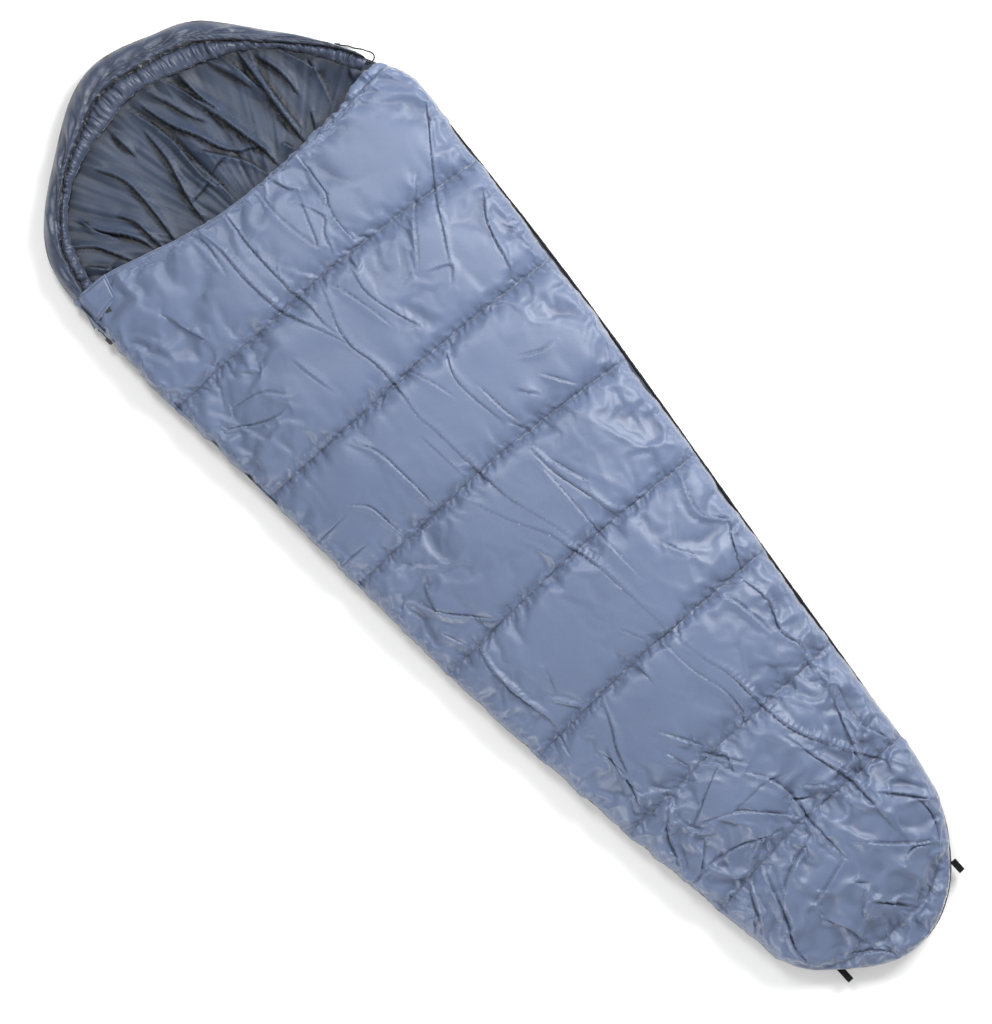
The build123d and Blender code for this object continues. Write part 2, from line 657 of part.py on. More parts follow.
# ---------------------------------------------------------------- hang loops on the foot
WEB_WIDE = 12.0
WEB_THICK = 1.4
EYE_HIGH = 6.0
LOOP_Z = 27.0


def hang_loop(x, y_root, y_tip):
    """Folded webbing loop, open across the bag."""
    with BuildPart() as loop:
        with BuildSketch(Plane.YZ.offset(x - WEB_WIDE / 2)):
            with Locations(((y_root + y_tip) / 2, LOOP_Z)):
                SlotOverall(abs(y_root - y_tip), EYE_HIGH + 2 * WEB_THICK)
                SlotOverall(abs(y_root - y_tip) - 2 * WEB_THICK, EYE_HIGH, mode=Mode.SUBTRACT)
        extrude(amount=WEB_WIDE)
    return loop


def foot_edge(x):
    """Where the outline's foot end crosses a line of constant x."""
    with BuildLine() as probe:
        Line((x, FOOT_Y - 100), (x, FOOT_Y + 400))
    inside = bag_outline(-BINDING_OUT).sketch.face().outer_wire().edges()
    hits = [p for e in inside for p in e.find_intersection_points(probe.line.edge())]
    return min(p.Y for p in hits)


for side_name, x, length in (("left", -134.0, 34.0), ("right", 152.0, 26.0)):
    root = foot_edge(x - WEB_WIDE / 2)
    root = min(root, foot_edge(x + WEB_WIDE / 2)) - 0.05
    save(f"hang_loop_{side_name}", hang_loop(x, root, root - length))

print("zip radius", round(ZIP_R, 2), "centre", round(ZIP_CX, 2), round(ZIP_CY, 2))
print("pieces", len(parts))
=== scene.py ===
import math

import bpy
import numpy as np
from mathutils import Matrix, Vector
from mathutils.geometry import delaunay_2d_cdt


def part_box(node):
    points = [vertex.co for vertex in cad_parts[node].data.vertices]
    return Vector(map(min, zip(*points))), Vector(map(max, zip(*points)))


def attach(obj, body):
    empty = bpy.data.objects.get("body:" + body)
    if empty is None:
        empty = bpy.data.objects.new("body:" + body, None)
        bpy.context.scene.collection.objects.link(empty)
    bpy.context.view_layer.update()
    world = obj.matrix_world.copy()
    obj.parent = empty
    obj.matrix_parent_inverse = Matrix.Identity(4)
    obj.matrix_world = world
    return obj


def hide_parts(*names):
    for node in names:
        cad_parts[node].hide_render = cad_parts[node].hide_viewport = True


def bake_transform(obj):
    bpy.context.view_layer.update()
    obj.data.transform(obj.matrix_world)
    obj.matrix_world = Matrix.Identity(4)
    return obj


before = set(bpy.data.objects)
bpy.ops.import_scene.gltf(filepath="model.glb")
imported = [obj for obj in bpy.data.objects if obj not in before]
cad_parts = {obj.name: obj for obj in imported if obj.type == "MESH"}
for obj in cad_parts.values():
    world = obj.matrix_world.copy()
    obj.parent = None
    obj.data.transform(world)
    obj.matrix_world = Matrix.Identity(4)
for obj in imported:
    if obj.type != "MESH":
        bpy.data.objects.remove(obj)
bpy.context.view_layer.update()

rng = np.random.default_rng(7)

# ------------------------------ camera
PICTURE_TALL = 1.864  # metres of the bag's plane that the picture's height shows
LENS = 85.0
SENSOR = 36.0
BAG_MIDDLE_Z = 0.06

camera_data = bpy.data.cameras.new("camera")
camera_data.lens = LENS
camera_data.sensor_width = SENSOR
camera = bpy.data.objects.new("camera", camera_data)
bpy.context.scene.collection.objects.link(camera)
camera.location = (-0.050, 0.003, PICTURE_TALL * LENS / SENSOR + BAG_MIDDLE_Z)
camera.rotation_euler = (0, 0, math.radians(-42.28))
bpy.context.scene.camera = camera

# ------------------------------ the free end of the drawcord
TAIL_ROUTE = (
    (0.304321, 0.809055, 0.0350),
    (0.331553, 0.767121, 0.0350),
    (0.340130, 0.765298, 0.0344),
    (0.347401, 0.770259, 0.0330),
    (0.348562, 0.779121, 0.0285),
    (0.343972, 0.789494, 0.0205),
    (0.339281, 0.800756, 0.0125),
    (0.331362, 0.811114, 0.0065),
    (0.325582, 0.824054, 0.0042),
    (0.315986, 0.833323, 0.0040),
)
CORD_D = 0.0028

tail_curve = bpy.data.curves.new("drawcord_tail_cord", "CURVE")
tail_curve.dimensions = "3D"
tail_curve.resolution_u = 12
tail_curve.bevel_depth = 1.0  # times each point's radius, which also widens the curve's bounds
tail_curve.bevel_resolution = 5
tail_curve.use_fill_caps = True
tail_spline = tail_curve.splines.new("NURBS")
tail_spline.points.add(len(TAIL_ROUTE) - 1)
for control, place in zip(tail_spline.points, TAIL_ROUTE):
    control.co = (*place, 1.0)
    control.radius = CORD_D / 2
tail_spline.order_u = 3
tail_spline.use_endpoint_u = True
tail = bpy.data.objects.new("drawcord_tail_cord", tail_curve)
bpy.context.scene.collection.objects.link(tail)
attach(tail, "hood")
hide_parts("drawcord_tail")

# ------------------------------ plan outline, in metres
MM = 0.001


def circle_through(a, b, c):
    """Centre and radius of the circle through three points."""
    (ax, ay), (bx, by), (cx, cy) = a, b, c
    d = 2 * (ax * (by - cy) + bx * (cy - ay) + cx * (ay - by))
    aa, bb, cc = ax * ax + ay * ay, bx * bx + by * by, cx * cx + cy * cy
    ux = (aa * (by - cy) + bb * (cy - ay) + cc * (ay - by)) / d
    uy = (aa * (cx - bx) + bb * (ax - cx) + cc * (bx - ax)) / d
    return np.array([ux, uy]), math.hypot(ax - ux, ay - uy)


def arc_through(a, b, c, count=160):
    """Points along the arc from a through b to c."""
    centre, r = circle_through(a, b, c)
    start, middle, end = (math.atan2(p[1] - centre[1], p[0] - centre[0]) for p in (a, b, c))
    middle = start + math.remainder(middle - start, math.tau)
    end = middle + math.remainder(end - middle, math.tau)
    angles = np.linspace(start, end, count)
    return centre + r * np.stack([np.cos(angles), np.sin(angles)], 1)


def resample(points, step=None, count=None):
    """A polyline at even steps."""
    points = np.asarray(points, float)
    runs = np.r_[0, np.cumsum(np.linalg.norm(np.diff(points, axis=0), axis=1))]
    n = count or max(2, int(round(runs[-1] / step)) + 1)
    at = np.linspace(0, runs[-1], n)
    return np.stack([np.interp(at, runs, points[:, k]) for k in range(points.shape[1])], 1)


def rounded(points, count=400):
    """A smooth line through all the points (Catmull-Rom)."""
    p = np.asarray(points, float)
    p = np.vstack([2 * p[0] - p[1], p, 2 * p[-1] - p[-2]])
    spans = len(p) - 3
    t = np.linspace(0, spans - 1e-9, count)
    k = t.astype(int)
    f = (t - k)[:, None]
    a, b, c, d = p[k], p[k + 1], p[k + 2], p[k + 3]
    return 0.5 * (2 * b + (c - a) * f + (2 * a - 5 * b + 4 * c - d) * f**2 + (3 * b - a - 3 * c + d) * f**3)


ZIP_TOP, ZIP_MIDDLE, ZIP_FOOT = (-358.0, 775.0), (-315.0, 8.0), (-208.0, -880.0)
ZIP_CENTRE, ZIP_R = circle_through(ZIP_TOP, ZIP_MIDDLE, ZIP_FOOT)
SHOULDER, CHEEK, NECK = (370.0, 690.0), (228.0, 938.0), (317.0, 810.0)
MIDDLE, SHIN = (321.0, 8.0), (244.0, -720.0)
FOOT_CURVE = (
    (-207.2, -879.9), (-200.5, -920.7), (-190.0, -960.6), (-167.7, -995.1), (-139.1, -1025.0),
    (-107.6, -1051.8), (-73.3, -1074.8), (-35.8, -1092.2), (4.6, -1100.3), (45.5, -1095.5),
    (83.7, -1079.9), (118.0, -1057.0), (148.3, -1028.9), (174.6, -997.0), (196.2, -961.8),
    (212.4, -923.8), (223.6, -884.0), (231.0, -843.4), (236.0, -802.3), (240.1, -761.2), SHIN,
)
HEAD_CURVE = (
    CHEEK, (203.0, 970.8), (177.1, 1002.8), (149.0, 1032.9), (114.1, 1054.1), (75.1, 1067.6),
    (36.6, 1082.3), (-2.7, 1094.4), (-43.5, 1100.1), (-84.2, 1094.7), (-122.5, 1079.7),
    (-158.0, 1058.9), (-192.0, 1035.6), (-225.7, 1011.9), (-259.0, 987.5), (-290.6, 961.2),
    (-318.9, 931.3), (-340.7, 896.4), (-352.9, 857.2), (-357.2, 816.2), (-357.2, 775.0),
)


def zip_line(y_high, y_low, inset=0.0, count=300):
    """Points on the zip's arc from y_high to y_low, in millimetres."""
    y = np.linspace(y_high, y_low, count)
    r = ZIP_R - inset
    return np.stack([ZIP_CENTRE[0] - np.sqrt(r**2 - (y - ZIP_CENTRE[1]) ** 2), y], 1)


OUTLINE = MM * np.vstack(
    [
        zip_line(775, -879, 0.8),
        rounded(FOOT_CURVE)[1:],
        arc_through(SHIN, MIDDLE, SHOULDER)[1:],
        arc_through(SHOULDER, NECK, CHEEK, 60)[1:],
        rounded(HEAD_CURVE)[1:-1],
    ]
)
OUTLINE = resample(np.vstack([OUTLINE, OUTLINE[:1]]), step=0.0035)[:-1]
tip = int(np.argmax(OUTLINE[:, 1]))
ring = np.roll(OUTLINE, -tip, axis=0)
low = int(np.argmin(ring[:, 1]))
LEFT_SIDE = ring[: low + 1]  # from the hood's point down the zip side to the foot
RIGHT_SIDE = np.vstack([ring[low:], ring[:1]])  # and up the plain side


def left_x(y):
    return np.interp(y, LEFT_SIDE[::-1, 1], LEFT_SIDE[::-1, 0])


def right_x(y):
    return np.interp(y, RIGHT_SIDE[:, 1], RIGHT_SIDE[:, 0])


COLLAR = MM * rounded(
    ((-377.8, 810.6), (-293.4, 801.9), (-211.8, 778.0), (-130.6, 752.8), (-47.1, 736.8), (37.6, 730.1),
     (122.6, 730.1), (207.6, 734.0), (292.5, 738.9), (377.5, 742.0))
)


def collar_y(x):
    return np.interp(x, COLLAR[:, 0], COLLAR[:, 1])


# ------------------------------ numbers over the surface


def nearest(points, line):
    """Distance from each point to a densely sampled line."""
    line = np.asarray(line)
    out = np.empty(len(points))
    for k in range(0, len(points), 4000):
        part = points[k : k + 4000, None, :2] - line[None, :, :2]
        out[k : k + 4000] = np.sqrt((part**2).sum(2).min(1))
    return out


def wave_noise(x, y, seed, octaves=1):
    """Smooth value noise over a lattice of unit cells, about -1 to 1."""
    total = np.zeros(len(x))
    for k in range(octaves):
        lattice = np.random.default_rng(seed + 31 * k).uniform(-1, 1, (64, 64))
        gx, gy = x * 2**k, y * 2**k
        ix, iy = np.floor(gx).astype(int), np.floor(gy).astype(int)
        fx, fy = gx - ix, gy - iy
        fx, fy = fx * fx * (3 - 2 * fx), fy * fy * (3 - 2 * fy)
        a, b = lattice[ix % 64, iy % 64], lattice[(ix + 1) % 64, iy % 64]
        c, d = lattice[ix % 64, (iy + 1) % 64], lattice[(ix + 1) % 64, (iy + 1) % 64]
        total += ((a * (1 - fx) + b * fx) * (1 - fy) + (c * (1 - fx) + d * fx) * fy) / 2**k
    return total


def smoothstep(t):
    t = np.clip(t, 0, 1)
    return t * t * (3 - 2 * t)


ARCH_STATIONS = np.array(
    [
        (-1.115, 0.220, 0.034, 0.054),
        (-0.880, 0.262, 0.050, 0.086),
        (-0.400, 0.315, 0.053, 0.095),
        (0.300, 0.380, 0.052, 0.096),
        (0.870, 0.400, 0.048, 0.084),
    ]
)


def arch_z(x, y):
    """Height of the cover's arched surface."""
    half, edge, crown = (np.interp(y, ARCH_STATIONS[:, 0], ARCH_STATIONS[:, k]) for k in (1, 2, 3))
    rise = crown - edge
    r = (half**2 + rise**2) / (2 * rise)
    return crown - r + np.sqrt(np.maximum(r**2 - x**2, 0.0))


# stitch lines across the cover: y at the zip side, the middle and the plain side
STITCHES = MM * np.array(
    [
        (535, 531, 500),
        (300, 297, 278),
        (73, 76, 51),
        (-158, -147, -164),
        (-379, -366, -377),
        (-593, -581, -584),
        (-810, -784, -795),
    ]
)
FOOT_BAFFLE = MM * rounded(
    ((-170, -990), (-139, -1016), (-60, -1038), (30, -1043), (90, -1034), (135, -1010))
)


def stitch_y(row, x):
    """Height y of one stitch line at x."""
    half = np.where(x < 0, -left_x(row[1]), right_x(row[1]))
    t = x / half
    return row[1] + np.where(t < 0, (row[0] - row[1]), (row[2] - row[1])) * np.abs(t) ** 1.5


def stitch_distance(points):
    """Distance to the closest stitch line, measured along the bag."""
    best = np.full(len(points), 9.0)
    for row in STITCHES:
        gap = np.abs(points[:, 1] - stitch_y(row, points[:, 0]))
        best = np.minimum(best, gap)
    return np.minimum(best, nearest(points, FOOT_BAFFLE))


def crease_field(points, creases, width, spread=1.0):
    """Height added by traced folds: a ridge with a sharp valley on one side of it."""
    z = np.zeros(len(points))
    for strength, *route in creases:
        line = MM * np.asarray(route, float)
        reach = 4 * width
        lo, hi = line.min(0) - reach, line.max(0) + reach
        near = np.where(((points[:, :2] > lo) & (points[:, :2] < hi)).all(1))[0]
        if len(near) == 0:
            continue
        line = resample(rounded(line, 60), count=48)
        p = points[near, :2]
        away = ((p[:, None] - line[None]) ** 2).sum(2)
        k = away.argmin(1)
        step = np.gradient(line, axis=0)
        step /= np.linalg.norm(step, axis=1)[:, None]
        rel = p - line[k]
        side = step[k, 0] * rel[:, 1] - step[k, 1] * rel[:, 0]
        side *= math.copysign(1, strength)
        past = np.abs((rel * step[k]).sum(1))
        taper = np.sin(np.pi * np.clip((k + 0.5) / len(line), 0.02, 0.98)) ** 0.7
        taper = taper * np.exp(-((past / width) ** 2))
        broad = width * (0.8 + 1.9 * taper)
        slope = np.where(side > 0, np.clip(1 - side / broad, 0, 1), np.clip(1 + side / (0.8 * width), 0, 1))
        valley = np.exp(-(((side + 0.8 * width) / (0.5 * width)) ** 2))
        z[near] += MM * abs(strength) * taper * (slope - spread * 0.55 * valley)
    return z


# ------------------------------ mesh helpers


def put_mesh(name, vertices, faces, smooth=True):
    """New object from arrays."""
    mesh = bpy.data.meshes.new(name)
    mesh.from_pydata(np.asarray(vertices).tolist(), [], [tuple(int(i) for i in f) for f in faces])
    mesh.validate()
    if smooth:
        mesh.polygons.foreach_set("use_smooth", np.ones(len(mesh.polygons), bool))
    made = bpy.data.objects.new(name, mesh)
    bpy.context.scene.collection.objects.link(made)
    return made


def grid_faces(rows, columns, wrap_columns=False, first=0):
    """Quads of a rows by columns grid of vertices."""
    faces = []
    last = columns if wrap_columns else columns - 1
    for r in range(rows - 1):
        for c in range(last):
            d = (c + 1) % columns
            here, above = first + r * columns, first + (r + 1) * columns
            faces.append((here + c, here + d, above + d, above + c))
    return faces


def fill_plan(boundary, fine_mask, step, inside, lines=()):
    """Triangles over a closed plan region, with small ones where fine_mask says so."""
    boundary = np.asarray(boundary)
    lo, hi = boundary.min(0), boundary.max(0)
    rows = int((hi[1] - lo[1]) / (step * 0.866)) + 2
    columns = int((hi[0] - lo[0]) / step) + 2
    r, c = np.meshgrid(np.arange(rows), np.arange(columns), indexing="ij")
    x = lo[0] + (c + 0.5 * (r % 2)) * step
    y = lo[1] + r * step * 0.866
    coarse = ((r % 2 == 0) & ((c + (r // 2) % 2) % 2 == 0)).ravel()
    points = np.stack([x.ravel(), y.ravel()], 1)
    keep = inside(points)
    points, coarse = points[keep], coarse[keep]
    fine = fine_mask(points)
    points = points[coarse | fine]
    points += rng.uniform(-0.18, 0.18, points.shape) * step
    points = points[nearest(points, resample(np.vstack([boundary, boundary[:1]]), step=step)) > 0.6 * step]
    extra, edges = [], [(k, (k + 1) % len(boundary)) for k in range(len(boundary))]
    start = len(boundary)
    for line in lines:
        points = points[nearest(points, line) > 0.45 * step]
        extra.append(line)
        edges += [(start + k, start + k + 1) for k in range(len(line) - 1)]
        start += len(line)
    plan = np.vstack([boundary, *extra, points])
    verts, _, tris, _, _, _ = delaunay_2d_cdt(
        [Vector(p) for p in plan.tolist()], edges, [tuple(range(len(boundary)))], 1, 1e-7
    )
    return np.array([tuple(v) for v in verts]), np.array([t for t in tris if len(t) == 3])


def vertex_value(obj, name, values):
    """Store one number on each vertex for the materials."""
    layer = obj.data.attributes.new(name, "FLOAT", "POINT")
    layer.data.foreach_set("value", np.asarray(values, np.float32))


def coordinates(obj):
    out = np.empty(len(obj.data.vertices) * 3)
    obj.data.vertices.foreach_get("co", out)
    return out.reshape(-1, 3)


def set_coordinates(obj, points):
    obj.data.vertices.foreach_set("co", np.asarray(points, float).ravel())
    obj.data.update()


def concavity(obj, passes=10):
    """How far each vertex lies below the mean of its surroundings, in metres."""
    points = coordinates(obj)
    edges = np.empty(len(obj.data.edges) * 2, int)
    obj.data.edges.foreach_get("vertices", edges)
    a, b = edges.reshape(-1, 2).T
    count = np.bincount(a, minlength=len(points)) + np.bincount(b, minlength=len(points))
    z = points[:, 2].copy()
    for _ in range(passes):
        total = np.bincount(a, z[b], len(points)) + np.bincount(b, z[a], len(points))
        z = total / np.maximum(count, 1)
    return z - points[:, 2]


def ridged(x, y, seed):
    """Network of narrow ridges, 0 to 1."""
    return (1 - np.abs(wave_noise(x, y, seed))) ** 6


def lean(y):
    """How far the bag's lower half lies over to the zip side of its middle line."""
    return -0.016 * smoothstep((0.40 - y) / 0.85) + 0.004 * smoothstep((-0.90 - y) / 0.2)


def foot_push(x, y):
    """How far the foot end stands out past its seam, more on the zip side."""
    return -(0.0045 + 0.006 * smoothstep((0.02 - x) / 0.10)) * smoothstep((-1.00 - y) / 0.07)


def billow(obj, pinned, grow, pressure, cap, frames=18):
    """Let the cloth buckle with a little more fabric than its outline holds, held at its seams."""
    rest = coordinates(obj)
    group = obj.vertex_groups.new(name="held")
    group.add([int(k) for k in np.where(pinned)[0]], 1.0, "REPLACE")
    cloth = obj.modifiers.new("billow", "CLOTH")
    settings = cloth.settings
    settings.quality = 4
    settings.mass = 0.1
    settings.tension_stiffness = 12
    settings.compression_stiffness = 12
    settings.shear_stiffness = 4
    settings.bending_stiffness = 0.02
    settings.vertex_group_mass = "held"
    settings.shrink_min = -grow
    settings.shrink_max = -grow
    settings.use_pressure = True
    settings.uniform_pressure_force = pressure
    settings.effector_weights.gravity = 0
    cloth.collision_settings.use_collision = False
    cloth.point_cache.frame_start = 1
    cloth.point_cache.frame_end = frames
    scene = bpy.context.scene
    for number in range(1, frames + 1):
        scene.frame_set(number)
    ready = obj.evaluated_get(bpy.context.evaluated_depsgraph_get())
    moved = np.empty(len(rest) * 3)
    ready.data.vertices.foreach_get("co", moved)
    moved = moved.reshape(-1, 3) - rest
    moved[~np.isfinite(moved).all(1)] = 0
    length = np.linalg.norm(moved, axis=1)
    moved *= (cap * np.tanh(length / cap) / np.maximum(length, 1e-9))[:, None]
    obj.modifiers.remove(cloth)
    obj.vertex_groups.remove(group)
    scene.frame_set(1)
    set_coordinates(obj, rest + moved)

COVER_CREASES = (
    (5, (-103, 735), (-96, 681), (-96, 608), (-88, 535), (-74, 490), (-57, 450), (-43, 411)),
    (4, (-48, 735), (-52, 644), (-52, 553), (-46, 508), (-48, 462), (-41, 422)),
    (-3, (-125, 744), (-116, 708), (-121, 653)),
    (5, (-3, 521), (-19, 477), (-35, 435), (-39, 399), (-30, 353), (-26, 298), (-32, 226)),
    (-4, (1, 513), (17, 462), (28, 408), (32, 379)),
    (-4, (17, 713), (14, 662), (21, 608), (35, 571), (61, 635), (79, 677)),
    (4, (57, 717), (66, 690), (79, 673)),
    (3, (56, 662), (79, 608), (61, 581), (48, 544)),
    (-4, (114, 712), (106, 644), (90, 599), (88, 531)),
    (5, (54, 502), (48, 453), (61, 399), (76, 353)),
    (3, (66, 526), (63, 490)),
    (-4, (252, 557), (207, 508), (170, 462), (137, 422)),
    (4, (352, 644), (307, 571), (261, 502), (225, 444), (179, 371)),
    (3, (-354, 612), (-336, 581), (-350, 553)),
    (2, (-243, 668), (-230, 622), (-219, 593)),
    (-3, (-267, 462), (-212, 444), (-179, 404)),
    (-3, (-303, 440), (-239, 399), (-199, 393)),
    (3, (-221, 513), (-183, 477)),
    (2, (-130, 453), (-125, 408), (-117, 368)),
    (5, (325, 444), (301, 408), (283, 362), (270, 306)),
    (-4, (308, 399), (316, 353), (319, 298)),
    (3, (152, 411), (192, 389), (170, 360)),
    (-6, (-154, 262), (-134, 226), (-125, 162), (-119, 80)),
    (-4, (-234, 189), (-208, 158), (-199, 93)),
    (-3, (-343, 175), (-248, 177)),
    (-3, (-330, 116), (-256, 115)),
    (5, (-26, 298), (-32, 226), (-26, 189), (-19, 116), (-15, 75), (-6, 7), (12, -47), (28, -102),
     (34, -138)),
    (-5, (3, 295), (21, 244), (32, 204)),
    (3, (-52, 193), (-46, 135), (-43, 93)),
    (5, (77, 266), (63, 229), (65, 180), (76, 116)),
    (-5, (79, 193), (85, 135), (94, 95)),
    (-3, (179, 131), (216, 80)),
    (3, (134, 144), (156, 115)),
    (-3, (170, 180), (207, 162), (236, 158)),
    (6, (-70, 62), (-48, 16), (-21, -38), (6, -84), (17, -124), (32, -175), (46, -275), (56, -368)),
    (-4, (66, 25), (70, -29), (70, -138), (72, -211), (76, -266)),
    (5, (79, 58), (88, -11), (112, -102), (125, -157)),
    (-4, (90, 7), (106, -38), (119, -69)),
    (-4, (-263, -11), (-239, -58), (-203, -102), (-157, -147)),
    (3, (-221, -4), (-234, -66)),
    (-3, (-258, -93), (-239, -142)),
    (6, (-217, -157), (-227, -202), (-223, -266), (-207, -339), (-208, -360)),
    (3, (-185, -311), (-150, -364)),
    (-3, (-157, -266), (-172, -311)),
    (3, (-6, -302), (15, -348)),
    (-3, (147, -238), (170, -288)),
    (4, (265, -302), (243, -339), (225, -379)),
    (-4, (252, -175), (236, -238), (261, -284)),
    (5, (57, -371), (70, -448), (85, -502), (90, -575), (94, -621), (108, -666), (134, -712),
     (170, -779), (203, -834)),
    (-4, (28, -379), (34, -448), (50, -511), (50, -579)),
    (5, (-121, -397), (-134, -430), (-150, -462), (-170, -517)),
    (-5, (-185, -457), (-181, -502), (-194, -548), (-203, -584)),
    (4, (-161, -440), (-179, -493), (-172, -548)),
    (-5, (-85, -488), (-66, -521), (-46, -561)),
    (-4, (159, -375), (177, -430), (185, -499)),
    (4, (214, -384), (225, -448), (210, -502), (217, -548), (192, -615)),
    (-3, (-99, -526), (-88, -571)),
    (4, (-30, -371), (-28, -417)),
    (-4, (-221, -371), (-230, -415)),
    (-5, (-63, -561), (-30, -606), (-5, -641)),
    (4, (-48, -608), (-103, -639), (-143, -662)),
    (-5, (-139, -662), (-76, -693), (-39, -730), (-3, -772)),
    (4, (-103, -681), (-70, -728)),
    (5, (-143, -590), (-185, -639), (-216, -703), (-239, -724)),
    (4, (-239, -726), (-197, -728), (-150, -692)),
    (-6, (-19, -648), (6, -693), (15, -739), (6, -794), (8, -888)),
    (5, (83, -648), (101, -721), (119, -794), (116, -906)),
    (4, (188, -666), (161, -739), (141, -797)),
    (-4, (210, -626), (192, -721), (217, -797)),
    (-4, (-212, -739), (-139, -739), (-85, -757), (-37, -777)),
    (3, (-85, -684), (-12, -681), (28, -692)),
    (-4, (46, -743), (68, -757), (83, -783)),
    (4, (15, -739), (43, -761)),
    (-6, (-110, -797), (-130, -866), (-154, -939), (-157, -986)),
    (5, (-147, -812), (-172, -875), (-194, -906)),
    (-4, (-85, -912), (-39, -899), (10, -885)),
    (-5, (39, -870), (79, -912), (116, -948), (150, -977)),
    (5, (134, -830), (170, -875), (199, -914)),
    (5, (-6, -963), (21, -1003), (48, -1036)),
    (3, (-3, -921), (14, -941)),
    (4, (-8, -812), (-76, -837), (-112, -866)),
    (-4, (-112, -1017), (-66, -1048), (-41, -1077)),
    (3, (-221, -894), (-194, -875), (-172, -841)),
    (4, (-85, -939), (-66, -985), (-63, -1021)),
    (-4, (88, -959), (116, -959), (134, -976)),
    (3, (10, -948), (-21, -972), (-30, -994)),
    (4, (143, -994), (170, -939), (170, -885)),
)
HOOD_PLEATS = (
    (5, (-307, 888), (-267, 857), (-248, 823), (-230, 786)),
    (8, (-259, 915), (-239, 872), (-208, 832), (-194, 804), (-187, 779)),
    (-7, (-254, 912), (-247, 877), (-223, 835)),
    (7, (-197, 872), (-181, 841), (-177, 799), (-176, 764)),
    (8, (-172, 965), (-150, 926), (-141, 890), (-143, 826), (-150, 759)),
    (-4, (-303, 839), (-274, 804)),
    (-12, (-52, 1001), (-41, 954), (-32, 899), (-35, 826), (-30, 790)),
    (10, (-56, 948), (-59, 890), (-70, 844), (-81, 799), (-86, 750)),
    (9, (-30, 994), (-12, 926), (10, 881), (28, 835), (50, 808)),
    (-7, (-34, 895), (-26, 826), (-21, 772), (-23, 739)),
    (6, (-6, 1001), (10, 963), (25, 917), (37, 895)),
    (-8, (34, 990), (46, 945), (54, 905)),
    (12, (39, 968), (61, 890), (74, 826), (83, 781), (83, 739)),
    (7, (59, 990), (61, 935), (72, 885)),
    (-6, (-12, 863), (15, 826), (43, 786), (57, 741)),
    (7, (112, 972), (134, 917), (143, 881)),
    (-8, (139, 961), (148, 899), (154, 841)),
    (13, (168, 948), (159, 863), (152, 799), (148, 735)),
    (-9, (183, 932), (165, 863), (157, 763)),
    (8, (190, 912), (201, 863), (199, 814)),
    (-5, (225, 894), (245, 844), (247, 812), (230, 759)),
    (4, (254, 844), (248, 815)),
    (5, (196, 775), (177, 741)),
    (-4, (288, 759), (299, 786)),
    (5, (123, 744), (116, 768)),
    (3, (-21, 814), (6, 819), (35, 815)),
    (3, (46, 810), (76, 795), (90, 768)),
    (3, (-85, 797), (-25, 806)),
    (-9, (-99, 932), (-103, 990)),
    (6, (-267, 808), (-248, 775)),
)

# ------------------------------ materials


def principled(name, rough=0.45, sheen=0.0, specular=0.5, metallic=0.0):
    """New node material, its shader and a helper that links nodes."""
    material = bpy.data.materials.new(name)
    material.use_nodes = True
    tree = material.node_tree
    shader = tree.nodes["Principled BSDF"]
    shader.inputs["Roughness"].default_value = rough
    shader.inputs["Sheen Weight"].default_value = sheen
    shader.inputs["Sheen Roughness"].default_value = 0.4
    shader.inputs["Specular IOR Level"].default_value = specular
    shader.inputs["Metallic"].default_value = metallic
    return material, tree, shader


def noise_node(tree, scale, detail=3.0, stretch=(1, 1, 1)):
    """Noise over the object's own coordinates."""
    place = tree.nodes.new("ShaderNodeTexCoord")
    mapping = tree.nodes.new("ShaderNodeMapping")
    mapping.inputs["Scale"].default_value = stretch
    noise = tree.nodes.new("ShaderNodeTexNoise")
    noise.inputs["Scale"].default_value = scale
    noise.inputs["Detail"].default_value = detail
    tree.links.new(place.outputs["Object"], mapping.inputs["Vector"])
    tree.links.new(mapping.outputs["Vector"], noise.inputs["Vector"])
    return noise


def colour_ramp(tree, factor, dark, light, low=0.3, high=0.7):
    ramp = tree.nodes.new("ShaderNodeValToRGB")
    ramp.color_ramp.elements[0].position = low
    ramp.color_ramp.elements[0].color = (*dark, 1)
    ramp.color_ramp.elements[1].position = high
    ramp.color_ramp.elements[1].color = (*light, 1)
    tree.links.new(factor, ramp.inputs["Fac"])
    return ramp.outputs["Color"]


def mix_colour(tree, factor, a, b, blend="MIX"):
    mix = tree.nodes.new("ShaderNodeMix")
    mix.data_type = "RGBA"
    mix.blend_type = blend
    if isinstance(factor, float):
        mix.inputs["Factor"].default_value = factor
    else:
        tree.links.new(factor, mix.inputs["Factor"])
    for socket, value in ((mix.inputs[6], a), (mix.inputs[7], b)):
        if isinstance(value, tuple):
            socket.default_value = (*value, 1)
        else:
            tree.links.new(value, socket)
    return mix.outputs[2]


def weave_height(tree, threads):
    """Plain weave: two crossing sets of threads, per metre."""
    heights = []
    for direction in ("X", "Y"):
        place = tree.nodes.new("ShaderNodeTexCoord")
        wave = tree.nodes.new("ShaderNodeTexWave")
        wave.bands_direction = direction
        wave.inputs["Scale"].default_value = threads / 20
        wave.inputs["Distortion"].default_value = 0.6
        tree.links.new(place.outputs["Object"], wave.inputs["Vector"])
        heights.append(wave.outputs["Fac"])
    product = tree.nodes.new("ShaderNodeMath")
    product.operation = "MAXIMUM"
    tree.links.new(heights[0], product.inputs[0])
    tree.links.new(heights[1], product.inputs[1])
    return product.outputs[0]


def bumped(tree, shader, height, distance, strength=1.0, before=None):
    bump = tree.nodes.new("ShaderNodeBump")
    bump.inputs["Distance"].default_value = distance
    bump.inputs["Strength"].default_value = strength
    tree.links.new(height, bump.inputs["Height"])
    if before is not None:
        tree.links.new(before.outputs["Normal"], bump.inputs["Normal"])
    tree.links.new(bump.outputs["Normal"], shader.inputs["Normal"])
    return bump


